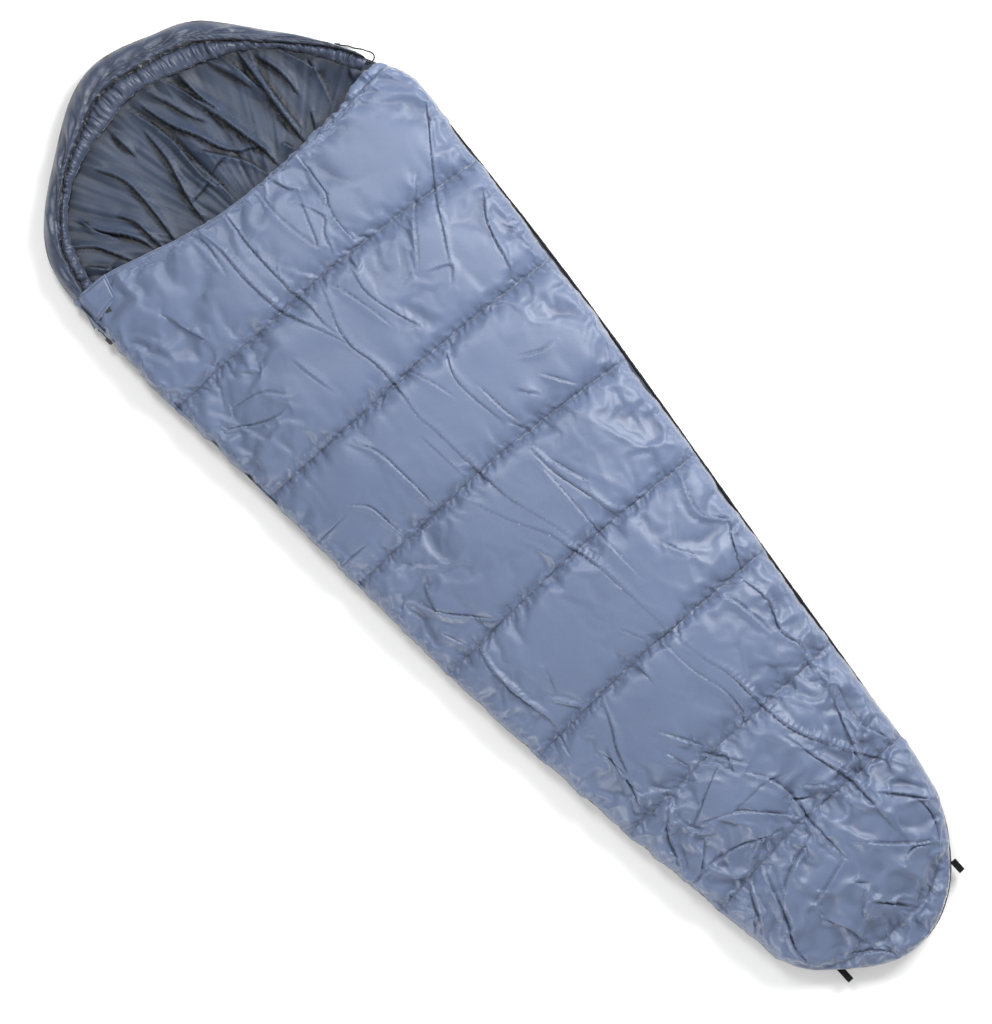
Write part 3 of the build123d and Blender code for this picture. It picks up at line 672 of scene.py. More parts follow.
def cloth_material(name, base, deep_shade, rough, sheen, threads=1400, crumple=0.0008, wear=None, specular=0.5):
    """Woven cloth: tone that drifts over the piece, painted shade in the folds, fine crumples and a weave.
    """
    material, tree, shader = principled(name, rough, sheen, specular)
    drift = noise_node(tree, 4.0, 4.0)
    light = tuple(min(1.0, c * 1.10) for c in base)
    dim = tuple(c * 0.88 for c in base)
    colour = colour_ramp(tree, drift.outputs["Fac"], dim, light)
    speck = noise_node(tree, 260.0, 2.0)
    colour = mix_colour(tree, speck.outputs["Fac"], colour, wear or light)
    # painted shade: the per-vertex fold value mixes the colour towards the given darker colour in folds and
    # creases
    fold = tree.nodes.new("ShaderNodeAttribute")
    fold.attribute_name = "fold"
    colour = mix_colour(tree, fold.outputs["Fac"], colour, deep_shade)
    tree.links.new(colour, shader.inputs["Base Color"])
    rough_noise = noise_node(tree, 22.0, 3.0)
    ramp = tree.nodes.new("ShaderNodeMapRange")
    ramp.inputs["To Min"].default_value = rough - 0.06
    ramp.inputs["To Max"].default_value = rough + 0.10
    tree.links.new(rough_noise.outputs["Fac"], ramp.inputs["Value"])
    tree.links.new(ramp.outputs["Result"], shader.inputs["Roughness"])
    crumples = noise_node(tree, 55.0, 5.0)
    first = bumped(tree, shader, crumples.outputs["Fac"], crumple)
    bumped(tree, shader, weave_height(tree, threads), 0.00012, 0.5, first)
    return material


def moulded_material(name, base, rough, specular=0.5, metallic=0.0, grain=900.0):
    """Moulded plastic or painted metal with fine grain and rubbed patches."""
    material, tree, shader = principled(name, rough, 0.0, specular, metallic)
    drift = noise_node(tree, 60.0, 4.0)
    dim = tuple(c * 0.8 for c in base)
    light = tuple(min(1, c * 1.5) for c in base)
    colour = colour_ramp(tree, drift.outputs["Fac"], dim, light)
    tree.links.new(colour, shader.inputs["Base Color"])
    fine = noise_node(tree, grain, 2.0)
    bumped(tree, shader, fine.outputs["Fac"], 0.00008, 0.6)
    return material


SHELL = cloth_material(
    "shell_satin", (0.089, 0.121, 0.206), (0.016, 0.022, 0.045), 0.46, 0.45, crumple=0.0004, specular=0.6
)
# the shell's blue satin made nearly three times darker: painted shade over the hood's rim
RIM_SHELL_PAINTED_SHADE = cloth_material(
    "shell_satin_rim_painted_shade", (0.030, 0.043, 0.080), (0.003, 0.004, 0.009), 0.46, 0.30,
    crumple=0.0004, specular=0.6,
)
BLACK = cloth_material(
    "shell_black_cloth", (0.006, 0.0065, 0.008), (0.002, 0.002, 0.003), 0.6, 0.02, specular=0.25
)
LINING = cloth_material(
    "lining_satin", (0.031, 0.045, 0.078), (0.002, 0.003, 0.005), 0.50, 0.12, crumple=0.0004, specular=0.35
)
WEBBING = cloth_material(
    "webbing_cloth", (0.005, 0.005, 0.006), (0.002, 0.002, 0.002), 0.75, 0.03, threads=900, specular=0.2
)
CORD = cloth_material("braid", (0.013, 0.013, 0.015), (0.004, 0.004, 0.004), 0.7, 0.25, threads=1100)
HOOK = cloth_material(
    "hook_and_loop", (0.03, 0.03, 0.033), (0.01, 0.01, 0.01), 0.85, 0.4, threads=700, crumple=0.002
)
COIL = moulded_material("zip_coil", (0.016, 0.016, 0.018), 0.45)
METAL = moulded_material("painted_zinc", (0.02, 0.02, 0.022), 0.38, metallic=0.3)
PLASTIC = moulded_material("lock_plastic_grain", (0.015, 0.015, 0.017), 0.5)
STEEL = moulded_material("spring_steel_wire", (0.55, 0.55, 0.56), 0.3, metallic=1.0)


def dress(obj, material):
    obj.data.materials.clear()
    obj.data.materials.append(material)


def goes_for(piece, slot, *nodes):
    """Hide the CAD nodes that a piece stands for."""
    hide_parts(*nodes)


def fold_shade(obj, depth, extra=None):
    """Mark the vertices that lie in a fold, for the painted shade that darkens their colour."""
    value = np.clip(concavity(obj) / depth, 0, 1)
    if extra is not None:
        value = np.clip(value + extra, 0, 1)
    vertex_value(obj, "fold", value)


# ------------------------------ cover: the quilted top
FINE_STEP, LINING_STEP, BASE_STEP = 0.0034, 0.0055, 0.0062  # of the meshes, before they widen
EDGE_ROUND = 0.026
ZIP_SIDE_EDGE = 0.0425
SEAM_EDGE = 0.0295
STITCH_DIP = 0.0085
PUFF = 0.006
SIDE_REVEAL = 0.0058
FOLD_WIDTH = 0.0050
SLACK, PRESSURE, SWELL_CAP = 0.085, 2.0, 0.0085  # of the simulated cover
CREST_Z = 0.099
CREST_ROOM = 0.009


def zip_side_bulge(y):
    """How far the filled cover and base stand out past the zip side's seam, towards the foot."""
    corner = np.exp(-(((y + 1.000) / 0.070) ** 2))
    shoulder = np.exp(-(((y - 0.60) / 0.13) ** 2))
    return 0.0040 + 0.0090 * corner + 0.0060 * shoulder


def side_reveal(y):
    """How far the cover stops short of the plain side, where the black base shows."""
    t = np.clip((y + 0.62) / 1.25, 0, 1)
    waves = 0.45 + 0.25 * np.sin(9.0 * y + 0.6) + 0.45 * np.sin(23.0 * y + 1.0)
    return SIDE_REVEAL * np.sin(np.pi * t) ** 0.7 * waves


cut_left = LEFT_SIDE[LEFT_SIDE[:, 1] < collar_y(-0.353)]
cut_right = RIGHT_SIDE[RIGHT_SIDE[:, 1] < collar_y(0.352)]
between = (COLLAR[:, 0] > cut_left[0, 0] + 0.002) & (COLLAR[:, 0] < cut_right[-1, 0] - 0.002)
collar_part = resample(COLLAR[between], step=0.0035)
COVER_EDGE = np.vstack([cut_left, cut_right[1:], collar_part[::-1]])


def in_cover(points):
    x, y = points[:, 0], points[:, 1]
    across = (x > left_x(y) + 0.001) & (x < right_x(y) - 0.001)
    return across & (y < collar_y(x) - 0.001) & (y > OUTLINE[:, 1].min())


crease_lines = [resample(rounded(MM * np.asarray(c[1:], float), 60), step=0.006) for c in COVER_CREASES]
CREASE_POINTS = np.vstack(crease_lines)


def cover_fine(points):
    return (
        (stitch_distance(points) < 0.015)
        | (nearest(points, CREASE_POINTS) < 0.012)
        | (nearest(points, OUTLINE[::2]) < 0.016)
        | (np.abs(points[:, 1] - collar_y(points[:, 0])) < 0.03)
    )


def fold_lines(creases, width, inside):
    """Crest and foot of each fold, as lines that the mesh's edges follow."""
    lines = []
    for strength, *route in creases:
        crest = resample(rounded(MM * np.asarray(route, float), 60), step=0.0042)
        step = np.gradient(crest, axis=0)
        step /= np.linalg.norm(step, axis=1)[:, None]
        foot_line = crest - math.copysign(1, strength) * np.c_[-step[:, 1], step[:, 0]] * 0.8 * width
        for line in (crest, foot_line):
            line = line[inside(line)]
            if len(line) > 3 and np.linalg.norm(np.diff(line, axis=0), axis=1).max() < 0.009:
                lines.append(line)
    return lines


def well_inside(points):
    off_collar = points[:, 1] < collar_y(points[:, 0]) - 0.006
    return in_cover(points) & (nearest(points, OUTLINE) > 0.006) & off_collar


plan, triangles = fill_plan(
    COVER_EDGE, cover_fine, FINE_STEP, in_cover, fold_lines(COVER_CREASES, FOLD_WIDTH, well_inside)
)
x, y = plan.T
edge_gap = nearest(plan, OUTLINE)
collar_gap = np.maximum(collar_y(x) - y, 0)
zip_side = smoothstep((y + 0.90) / 0.05) * (x < 0)
base = SEAM_EDGE + (ZIP_SIDE_EDGE - SEAM_EDGE) * zip_side
gap = stitch_distance(plan)
round_off = np.sqrt(np.maximum(1 - (1 - np.clip(edge_gap / EDGE_ROUND, 0, 1)) ** 2, 0))
inner = smoothstep(edge_gap / 0.03) * smoothstep(collar_gap / 0.02)
pillow = 1 - (1 - np.clip(gap / 0.07, 0, 1)) ** 3
under_tab = smoothstep((-0.262 - x) / 0.02) * smoothstep((y - 0.715) / 0.02)
z = base + (arch_z(x, y) - base) * round_off
quilting = -STITCH_DIP + (STITCH_DIP + PUFF) * pillow
z += (1 - under_tab) * quilting * smoothstep(edge_gap / 0.012) * smoothstep(collar_gap / 0.01)
pucker = wave_noise(x / 0.0075 + 3 * wave_noise(x / 0.05, y / 0.05, 5), gap / 0.045 + 40 * y, 11)
pucker2 = wave_noise(x / 0.021, gap / 0.09 + 9 * y, 12)
z += inner * (0.0020 * pucker * np.exp(-gap / 0.012) + 0.0032 * pucker2 * np.exp(-gap / 0.045))
z += inner * 0.0035 * wave_noise(x / 0.09, y / 0.12, 21, 2)
foot = smoothstep((-0.35 - y) / 0.5)
z += inner * foot * 0.0030 * wave_noise(x / 0.035 + y / 0.05, y / 0.045 - x / 0.08, 27, 2)
patches = smoothstep((wave_noise(x / 0.11, y / 0.13, 23) + 0.25) / 0.5) * 0.7 + 0.6 * foot
patches = patches + 0.5 * foot
z += inner * patches * (0.0034 + 0.0014 * foot) * ridged(x / 0.045 + y / 0.11, y / 0.085 - x / 0.2, 24)
z += inner * patches * (0.0024 + 0.0014 * foot) * ridged(x / 0.028 - y / 0.06, y / 0.050 + x / 0.07, 25)
folds = crease_field(plan, COVER_CREASES, FOLD_WIDTH)
z += (0.95 + 0.30 * foot) * folds * smoothstep(edge_gap / 0.01) * smoothstep(collar_gap / 0.006)
side_wave = 0.0022 * wave_noise(y / 0.022, np.zeros(len(y)) + (x > 0), 33, 2)
side_wave = side_wave * (1 - smoothstep(edge_gap / 0.04))
x = x + side_wave - side_reveal(y) * smoothstep((x - 0.05) / (right_x(y) - 0.05))
right_swell = 0.0040 * smoothstep((-0.62 - y) / 0.1) + 0.0070 * smoothstep((y - 0.56) / 0.06)
bulge = zip_side_bulge(y) * smoothstep((-0.05 - x) / 0.12)
x = x - bulge + right_swell * smoothstep((x - 0.10) / 0.1) + lean(y)
y = y + foot_push(x, y)
z += 0.0025 * wave_noise(y / 0.03, edge_gap / 0.05, 35, 2) * np.exp(-(((edge_gap - 0.022) / 0.016) ** 2))
z -= 0.006 * (1 - smoothstep(collar_gap / 0.012))
z -= 0.0015 * under_tab
cover = put_mesh("cover_quilt", np.stack([x, y, z], 1), triangles)
held = (gap < 0.0022) | (edge_gap < 0.006) | (collar_gap < 0.006)
billow(cover, held, SLACK, PRESSURE, SWELL_CAP)
settled = coordinates(cover)
above = np.maximum(settled[:, 2] - CREST_Z, 0)
settled[:, 2] -= above - CREST_ROOM * np.tanh(above / CREST_ROOM)
set_coordinates(cover, settled)
# painted shade: a thin dark line along each stitched groove and darker fold valleys, added to the darkening
# of hollows
stitch_shade = 0.42 * np.exp(-((gap / 0.0017) ** 2))
crease_shade = 0.26 * np.clip(-folds / 0.002, 0, 1)
fold_shade(cover, 0.013, stitch_shade + crease_shade)
dress(cover, SHELL)
goes_for(
    cover, "shell_blue", "cover_shell", "foot_cover_shell", "cover_insulation", "foot_cover_insulation"
)

# its lining, under the padding
plan, triangles = fill_plan(COVER_EDGE, lambda p: stitch_distance(p) < 0.012, LINING_STEP, in_cover)
x, y = plan.T
edge_gap = nearest(plan, OUTLINE)
from_edge = smoothstep(edge_gap / 0.03)
zip_side = smoothstep((y + 0.90) / 0.05) * (x < 0)
base = SEAM_EDGE + (ZIP_SIDE_EDGE - SEAM_EDGE) * zip_side
gap = stitch_distance(plan)
under = np.maximum(arch_z(x, y) - 0.024, base + 0.001)
z = base + (under - base) * smoothstep(edge_gap / 0.05)
pucker = wave_noise(x / 0.013, gap / 0.05 + 9 * y, 41)
z += from_edge * (0.005 * np.exp(-gap / 0.02) + 0.0022 * pucker * np.exp(-gap / 0.03))
z += from_edge * 0.003 * wave_noise(x / 0.07, y / 0.1, 43, 3)
x = x - side_reveal(y) * smoothstep((x - 0.05) / (right_x(y) - 0.05)) + lean(y)
cover_inside = put_mesh("cover_lining_cloth", np.stack([x, y, z], 1), triangles[:, ::-1])
fold_shade(cover_inside, 0.004)
dress(cover_inside, LINING)
goes_for(cover_inside, "lining_slate", "cover_lining", "foot_cover_lining")

# ------------------------------ base: black shell below, slate lining above


def in_bag(points):
    x, y = points.T
    return (x > left_x(y) + 0.001) & (x < right_x(y) - 0.001) & (y < 1.0985) & (y > -1.0985)


plan, triangles = fill_plan(OUTLINE[::2], lambda p: nearest(p, OUTLINE) < 0.03, BASE_STEP, in_bag)
x, y = plan.T
edge_gap = nearest(plan, OUTLINE)
gap = stitch_distance(plan)
curl = 1 - np.sqrt(np.maximum(1 - (1 - np.clip(edge_gap / 0.030, 0, 1)) ** 2, 0))
z = 0.0004 + 0.0275 * curl
creping = 0.0012 * (1 + wave_noise(x / 0.03, y / 0.03, 51, 2))
z += smoothstep((edge_gap - 0.02) / 0.03) * (0.004 * np.exp(-gap / 0.012) + creping)
bulge = zip_side_bulge(y) * smoothstep((-0.05 - x) / 0.12)
x = x - bulge * smoothstep((0.65 - y) / 0.2) * 0.85 + lean(y)
y = y + 0.8 * foot_push(x, y)
swell = 0.0035 * wave_noise(y / 0.05 + (x > 0) * 9, x / 0.3, 52, 2)
swell = swell * np.exp(-(((edge_gap - 0.008) / 0.012) ** 2))
z = np.maximum(z + swell * 0.6, 0.0002)
base_shell = put_mesh("base_shell_cloth", np.stack([x, y, z], 1), triangles[:, ::-1])
fold_shade(base_shell, 0.004)
dress(base_shell, BLACK)
goes_for(
    base_shell,
    "shell_black",
    "back_shell",
    "hood_shell",
    "back_insulation",
    "hood_insulation",
    "foot_box_pad",
)

LIP = MM * rounded(
    ((-318, 792), (-306, 850), (-284, 905), (-248, 947), (-205, 975), (-157, 992), (-103, 1004),
     (-50, 1012), (-12, 1012), (25, 1002), (61, 988), (116, 968), (170, 942), (225, 899), (262, 850),
     (292, 800), (312, 765))
)
SEAM = MM * rounded(
    ((-337, 800), (-330, 835), (-312, 892), (-267, 944), (-212, 990), (-139, 1028), (-85, 1050),
     (-35, 1052), (-12, 1047), (61, 1030), (116, 1008), (170, 965), (216, 919), (261, 874),
     (306, 822), (332, 775))
)


def hood_fine(points):
    return points[:, 1] > collar_y(points[:, 0]) - 0.03


def in_hood(points):
    return in_bag(points) & (nearest(points, OUTLINE) > 0.008) & (points[:, 1] > 0.71)


PLEAT_WIDTH = 0.0042
SLIDER_ROOM = 0.012
SLIDER_FLOOR = 0.0262
pleat_lines = fold_lines(HOOD_PLEATS, PLEAT_WIDTH, in_hood)
plan, triangles = fill_plan(OUTLINE[::2], hood_fine, FINE_STEP, in_bag, pleat_lines)
x, y = plan.T
edge_gap = nearest(plan, OUTLINE)
gap = stitch_distance(plan)
from_edge = smoothstep(edge_gap / 0.03)
into_hood = smoothstep((y - 0.70) / 0.08)
body = 0.0275 + from_edge * (0.001 + 0.004 * (1 - np.exp(-gap / 0.03)))
body += from_edge * 0.002 * wave_noise(x / 0.06, y / 0.09, 61, 3)
lip_gap = nearest(plan, resample(LIP, step=0.003))
bowl = 0.030 + 0.010 * np.exp(-((lip_gap / 0.03) ** 2)) + 0.004 * wave_noise(x / 0.05, y / 0.16, 62, 2)
centre = np.array([-0.02, 0.60])
spoke = np.arctan2(x - centre[0], y - centre[1])
bowl += 0.0022 * wave_noise(spoke / 0.055, y / 0.3, 63, 2) + 0.0012 * wave_noise(spoke / 0.02, y / 0.2, 64)
pleats = crease_field(plan, HOOD_PLEATS, PLEAT_WIDTH, 2.0)
swept = crease_field(plan, HOOD_PLEATS, 0.0100, 0.5)
hood_z = bowl + pleats * 0.7 + swept * 0.9
hood_z = np.where(edge_gap < 0.03, 0.0275 + (hood_z - 0.0275) * from_edge, hood_z)
z = body + (hood_z - body) * into_hood
z = np.maximum(z, 0.0085 + 0.019 * (1 - from_edge))
zip_gap = nearest(np.c_[x + lean(y), y], MM * zip_line(752, -861, 0.0, 400))
z = np.where(zip_gap < SLIDER_ROOM, np.minimum(z, SLIDER_FLOOR), z)
base_lining = put_mesh("base_lining_cloth", np.stack([x + lean(y), y, z], 1), triangles)
# painted shade: darker in the pleats' valleys, under the rim's lip and under the collar
deep_shade = (np.clip(-pleats / 0.0035, 0, 1) * 0.9 + np.clip(-swept / 0.005, 0, 1) * 0.3) * into_hood
shade_under_rim = np.exp(-lip_gap / 0.022) * 0.75 * into_hood
shade_under_collar = np.exp(-np.maximum(y - collar_y(x), 0) / 0.016) * 0.8 * into_hood
fold_shade(base_lining, 0.005, np.maximum(deep_shade, np.maximum(shade_under_rim, shade_under_collar)))
dress(base_lining, LINING)
goes_for(base_lining, "lining_slate", "back_lining", "hood_lining")

# ------------------------------ hood rim: padded roll and ruched drawcord channel
head = np.vstack([RIGHT_SIDE[RIGHT_SIDE[:, 1] > 0.815], LEFT_SIDE[LEFT_SIDE[:, 1] > 0.806][1:]])[::-1]
RIM_COUNT = 640
outer = resample(head, count=RIM_COUNT)
outward_step = np.gradient(outer, axis=0)
outward_step /= np.linalg.norm(outward_step, axis=1)[:, None]
outer = outer + np.c_[-outward_step[:, 1], outward_step[:, 0]] * 0.0045
seam = resample(SEAM, count=RIM_COUNT)
lip = resample(LIP, count=RIM_COUNT)
along = np.linspace(0, 1, RIM_COUNT)
arc_m = along * 1.35
ROLL_STEPS, CHANNEL_STEPS, UNDER_STEPS = 22, 14, 8
ruche = wave_noise(arc_m / 0.0085 + 0.8 * wave_noise(arc_m / 0.05, arc_m * 0, 71), arc_m * 0, 72)
ruche_in = wave_noise(arc_m / 0.0120 + 1.1 * wave_noise(arc_m / 0.04, arc_m * 0, 79), arc_m * 0, 73, 2)
left_end = np.exp(-along / 0.10)
ruche_size = 0.75 + 0.75 * wave_noise(arc_m / 0.055, arc_m * 0, 70, 2)
rows = []
for k in range(ROLL_STEPS + 1):
    t = k / ROLL_STEPS
    place = outer + (seam - outer) * (t**0.9)
    height = 0.0265 + (0.0305 - 0.004 * t) * np.sin(np.pi * min(t * 0.86 + 0.02, 1)) ** 0.55
    height = height + 0.014 * smoothstep((t - 0.55) / 0.45)
    near_seam = math.exp(-((1 - t) / 0.28) ** 1.2)
    fold = wave_noise(arc_m / (0.013 + 0.02 * (1 - near_seam)), arc_m * 0 + 0.8 * t, 74)
    amp = 0.0020 + 0.0050 * near_seam
    wide = 0.0055 * wave_noise(arc_m / 0.045 + 1.6 * t, arc_m * 0 + 1.2 * t, 75, 2)
    wide = wide * math.sin(math.pi * min(t + 0.1, 1))
    lift = amp * fold + 0.0018 * near_seam * ruche + wide
    dip = -0.0075 * math.exp(-(((t - 1) / 0.05) ** 2))
    slide = (0.002 * near_seam * wave_noise(arc_m / 0.01, arc_m * 0 + t * 3, 76))[:, None]
    tangent = np.gradient(outer, axis=0)
    tangent /= np.linalg.norm(tangent, axis=1)[:, None]
    rows.append(np.c_[place + tangent * slide, height + (lift + dip) * (1 if t > 0.04 else 0.2)])
for k in range(1, CHANNEL_STEPS + 1):
    t = k / CHANNEL_STEPS
    place = seam + (lip - seam) * t
    puff = 0.0095 * math.sin(math.pi * t) ** 0.7
    fullness = 0.35 + 0.65 * math.sin(math.pi * min(1, t + 0.1))
    ruffle = (0.0042 + 0.002 * left_end) * ruche_size * ruche_in * fullness
    ruffle = ruffle + 0.002 * wave_noise(arc_m / 0.004, arc_m * 0 + 2 * t, 77)
    wobble = (0.0022 * wave_noise(arc_m / 0.012, arc_m * 0 + 2 * t, 78))[:, None]
    inward = (lip - seam) / np.linalg.norm(lip - seam, axis=1)[:, None]
    height = 0.0465 + puff + ruffle - 0.004 * t
    rows.append(np.c_[place + tangent * wobble + inward * wobble * t, height])
for k in range(1, UNDER_STEPS + 1):
    t = k / UNDER_STEPS
    place = lip + (seam - lip) * (0.55 * t**1.2)
    rows.append(np.c_[place, rows[ROLL_STEPS + CHANNEL_STEPS][:, 2] * (1 - t) + 0.030 * t])
rim_points = np.vstack(rows)
rim = put_mesh("hood_rim_roll_cloth", rim_points, grid_faces(len(rows), RIM_COUNT))
# painted shade along the seam between roll and channel and on the rows tucked under the lip
shade = np.zeros((len(rows), RIM_COUNT))
shade[ROLL_STEPS - 1 : ROLL_STEPS + 2] = 0.75
shade[ROLL_STEPS - 2] = 0.3
shade[ROLL_STEPS + CHANNEL_STEPS + 1 :] = 0.8
fold_shade(rim, 0.0028, shade.ravel() * (0.75 + 0.25 * np.tile(ruche, len(rows))))
dress(rim, RIM_SHELL_PAINTED_SHADE)
goes_for(rim, "shell_blue", "hood_rim_roll", "hood_cord_channel", "hood_corner_gather", "hood_drawcord")
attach(rim, "hood")

# ------------------------------ collar hem, ruffled on the plain side
HEM_STEP = 0.0016
hem_line = resample(COLLAR[(COLLAR[:, 0] > -0.350) & (COLLAR[:, 0] < 0.352)], step=HEM_STEP)
hem_line[:, 1] -= 0.008
hem_x = hem_line[:, 0]
hem_line[:, 1] += 0.014 * smoothstep((hem_x - 0.22) / 0.08) * smoothstep((0.352 - hem_x) / 0.02)
tangent = np.gradient(hem_line, axis=0)
tangent /= np.linalg.norm(tangent, axis=1)[:, None]
normal = np.c_[-tangent[:, 1], tangent[:, 0]]
hem_z = np.minimum(arch_z(hem_x, hem_line[:, 1]), 0.09) - 0.0075
side_drop = 0.020 * np.exp(-(hem_x + 0.352) / 0.014) + 0.022 * np.exp(-(0.352 - hem_x) / 0.012)
hem_z = hem_z - side_drop
arc_m = np.arange(len(hem_line)) * HEM_STEP
gather = smoothstep((hem_x + 0.02) / 0.10) + 0.55 * np.exp(-(((hem_x + 0.11) / 0.04) ** 2)) + 0.12
HEM_STEPS = 26
rows = []
flutter = wave_noise(arc_m / 0.0105 + 0.7 * wave_noise(arc_m / 0.06, arc_m * 0, 81), arc_m * 0, 82)
flutter_fine = wave_noise(arc_m / 0.005, arc_m * 0, 83)
for k in range(HEM_STEPS):
    a = 2 * math.pi * k / HEM_STEPS
    across, up = math.cos(a), math.sin(a)
    upper = max(0.0, up)
    out = 0.0095 * math.copysign(abs(across) ** 0.8, across)
    grow = gather * (0.0028 * flutter + 0.0016 * flutter_fine)
    shift = gather * 0.0035 * wave_noise(arc_m / 0.012, arc_m * 0 + a, 84) * (0.5 + 0.5 * across)
    place = hem_line + normal * (out + shift)[:, None]
    rows.append(np.c_[place, hem_z + 0.0068 * up + grow * upper + 0.0025 * gather * flutter * across])
hem = put_mesh(
    "collar_hem_cloth",
    np.stack(rows, 1).reshape(-1, 3),
    grid_faces(len(hem_line), HEM_STEPS, wrap_columns=True),
)
fold_shade(hem, 0.002)
dress(hem, SHELL)
goes_for(hem, "shell_blue", "collar_hem", "collar_elastic")
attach(hem, "cover")

# ------------------------------ tab over the top of the zip
TAB = MM * np.array([(-370, 746), (-298, 755), (-285, 801), (-354, 806)])
TAB_WIDE, TAB_TALL = 0.072, 0.050
TAB_U, TAB_V = 60, 46
u, v = np.meshgrid(np.linspace(0, 1, TAB_U), np.linspace(0, 1, TAB_V))
u, v = u.ravel(), v.ravel()
flat = (
    np.outer((1 - u) * (1 - v), TAB[0])
    + np.outer(u * (1 - v), TAB[1])
    + np.outer(u * v, TAB[2])
    + np.outer((1 - u) * v, TAB[3])
)
tab_edge = np.minimum(np.minimum(u, 1 - u) * TAB_WIDE, np.minimum(v, 1 - v) * TAB_TALL)


def tab_floor(x, y):
    """The surface that the tab and its patches lie on, turning down past the zip."""
    return arch_z(x, y) - 0.030 * smoothstep((-x - 0.334) / 0.036) ** 1.6


crown = tab_floor(flat[:, 0], flat[:, 1])
puff = 0.0022 * smoothstep(tab_edge / 0.008) - 0.0016 * np.exp(-(((tab_edge - 0.0045) / 0.0012) ** 2))
curve = 0.0018 * wave_noise(u * 2.2, v * 2.6, 91, 2) + 0.0016 * smoothstep((u - 0.8) / 0.2) * np.sin(v * 5)
tab_top = crown + 0.0050 + puff + np.maximum(curve, -0.001)
tab_bottom = crown + 0.0029 + np.maximum(curve, -0.0002) * 0.8
TAB_N = TAB_U * TAB_V
faces = grid_faces(TAB_V, TAB_U) + [tuple(TAB_N + i for i in f[::-1]) for f in grid_faces(TAB_V, TAB_U)]
rim_loop = (
    list(range(TAB_U))
    + [r * TAB_U + TAB_U - 1 for r in range(1, TAB_V)]
    + [(TAB_V - 1) * TAB_U + c for c in range(TAB_U - 2, -1, -1)]
    + [r * TAB_U for r in range(TAB_V - 2, 0, -1)]
)
faces += [
    (TAB_N + a, TAB_N + b, b, a) for a, b in zip(rim_loop, rim_loop[1:] + rim_loop[:1])
]
tab = put_mesh("tab_cloth", np.vstack([np.c_[flat, tab_top], np.c_[flat, tab_bottom]]), faces)
fold_shade(tab, 0.0016)
dress(tab, SHELL)
goes_for(tab, "shell_blue", "tab_fabric")
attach(tab, "tab")


def patch(name, node, lift, seed):
    """Hook or loop patch with its own pile, filling the CAD solid's box."""
    lo, hi = (np.array(c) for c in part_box(node))
    nu, nv = 44, 40
    u, v = np.meshgrid(np.linspace(0, 1, nu), np.linspace(0, 1, nv))
    px, py = (lo[0] + (hi[0] - lo[0]) * u).ravel(), (lo[1] + (hi[1] - lo[1]) * v).ravel()
    top = tab_floor(px, py)
    edge = np.minimum(np.minimum(u, 1 - u), np.minimum(v, 1 - v)).ravel()
    pile = 0.0004 * np.random.default_rng(seed).uniform(-1, 1, len(px)) * smoothstep(edge / 0.05)
    upper, lower = top + lift + 0.0009 + pile * 0.6, top + lift
    n = nu * nv
    faces = grid_faces(nv, nu) + [tuple(n + i for i in f[::-1]) for f in grid_faces(nv, nu)]
    made = put_mesh(name, np.vstack([np.c_[px, py, upper], np.c_[px, py, lower]]), faces)
    fold_shade(made, 0.0006)
    dress(made, HOOK)
    goes_for(made, "hook_loop", node)
    return made


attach(patch("tab_hook_pile", "tab_hook_patch", 0.0014, 3), "tab")
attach(patch("tab_loop_pile", "tab_loop_patch", 0.0001, 4), "cover")

# ------------------------------ bound seams


SWEEP_STEP = 0.0035


def sweep(name, line, radii, heights, material, steps=12, seed=1, ripple=0.0004):
    """Soft tube along a plan line, with its own small ripples. radii are across and up."""
    line = resample(line, step=SWEEP_STEP)
    tangent = np.gradient(line, axis=0)
    tangent /= np.linalg.norm(tangent, axis=1)[:, None]
    normal = np.c_[-tangent[:, 1], tangent[:, 0]]
    run = np.arange(len(line)) * SWEEP_STEP
    rings = []
    for k in range(steps):
        a = 2 * math.pi * k / steps
        soft = ripple * wave_noise(run / 0.009, run * 0 + a, seed, 2)
        place = line + normal * (radii[0] * math.cos(a) + soft)[:, None]
        rings.append(np.c_[place, heights + radii[1] * math.sin(a) + soft])
    rings = np.stack(rings, 1)
    rings[0] = rings[0].mean(0)
    rings[-1] = rings[-1].mean(0)
    made = put_mesh(name, rings.reshape(-1, 3), grid_faces(len(line), steps, wrap_columns=True))
    fold_shade(made, 0.0008)
    dress(made, material)
    return made


def outward(line, distance):
    """A plan line moved away from the bag's middle."""
    step = np.gradient(line, axis=0)
    step /= np.linalg.norm(step, axis=1)[:, None]
    return line + np.c_[step[:, 1], -step[:, 0]] * distance


BINDING_Z = 0.026
BINDING_RADII = (0.0028, 0.0042)  # across and up
foot_left = LEFT_SIDE[LEFT_SIDE[:, 1] < -0.897]
plain_side = RIGHT_SIDE[RIGHT_SIDE[:, 1] < 0.752]
side_line = outward(np.vstack([foot_left, plain_side[1:]]), 0.0002)
side_line = side_line + np.c_[lean(side_line[:, 1]), 0.8 * foot_push(side_line[:, 0], side_line[:, 1])]
side_binding = sweep("side_binding_cloth", side_line, BINDING_RADII, BINDING_Z, BLACK, seed=101)
goes_for(side_binding, "shell_black", "side_seam_binding")
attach(side_binding, "back")
hood_edge = np.vstack([RIGHT_SIDE[RIGHT_SIDE[:, 1] > 0.846], LEFT_SIDE[LEFT_SIDE[:, 1] > 0.817][1:]])
hood_line = outward(hood_edge, 0.0015)
hood_binding = sweep("hood_binding_cloth", hood_line, BINDING_RADII, BINDING_Z, BLACK, seed=102)
goes_for(hood_binding, "shell_black", "hood_seam_binding")
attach(hood_binding, "hood")

# ------------------------------ zip
DRAFT_INSET = 12.0
draft = MM * zip_line(752, -841, DRAFT_INSET)
draft[:, 0] += lean(draft[:, 1])
draft_tube = sweep(
    "draft_tube_cloth", draft, (0.0066, 0.0060), 0.0355, LINING, steps=16, seed=103, ripple=0.0009
)
goes_for(draft_tube, "lining_slate", "zip_draft_tube")
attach(draft_tube, "back")


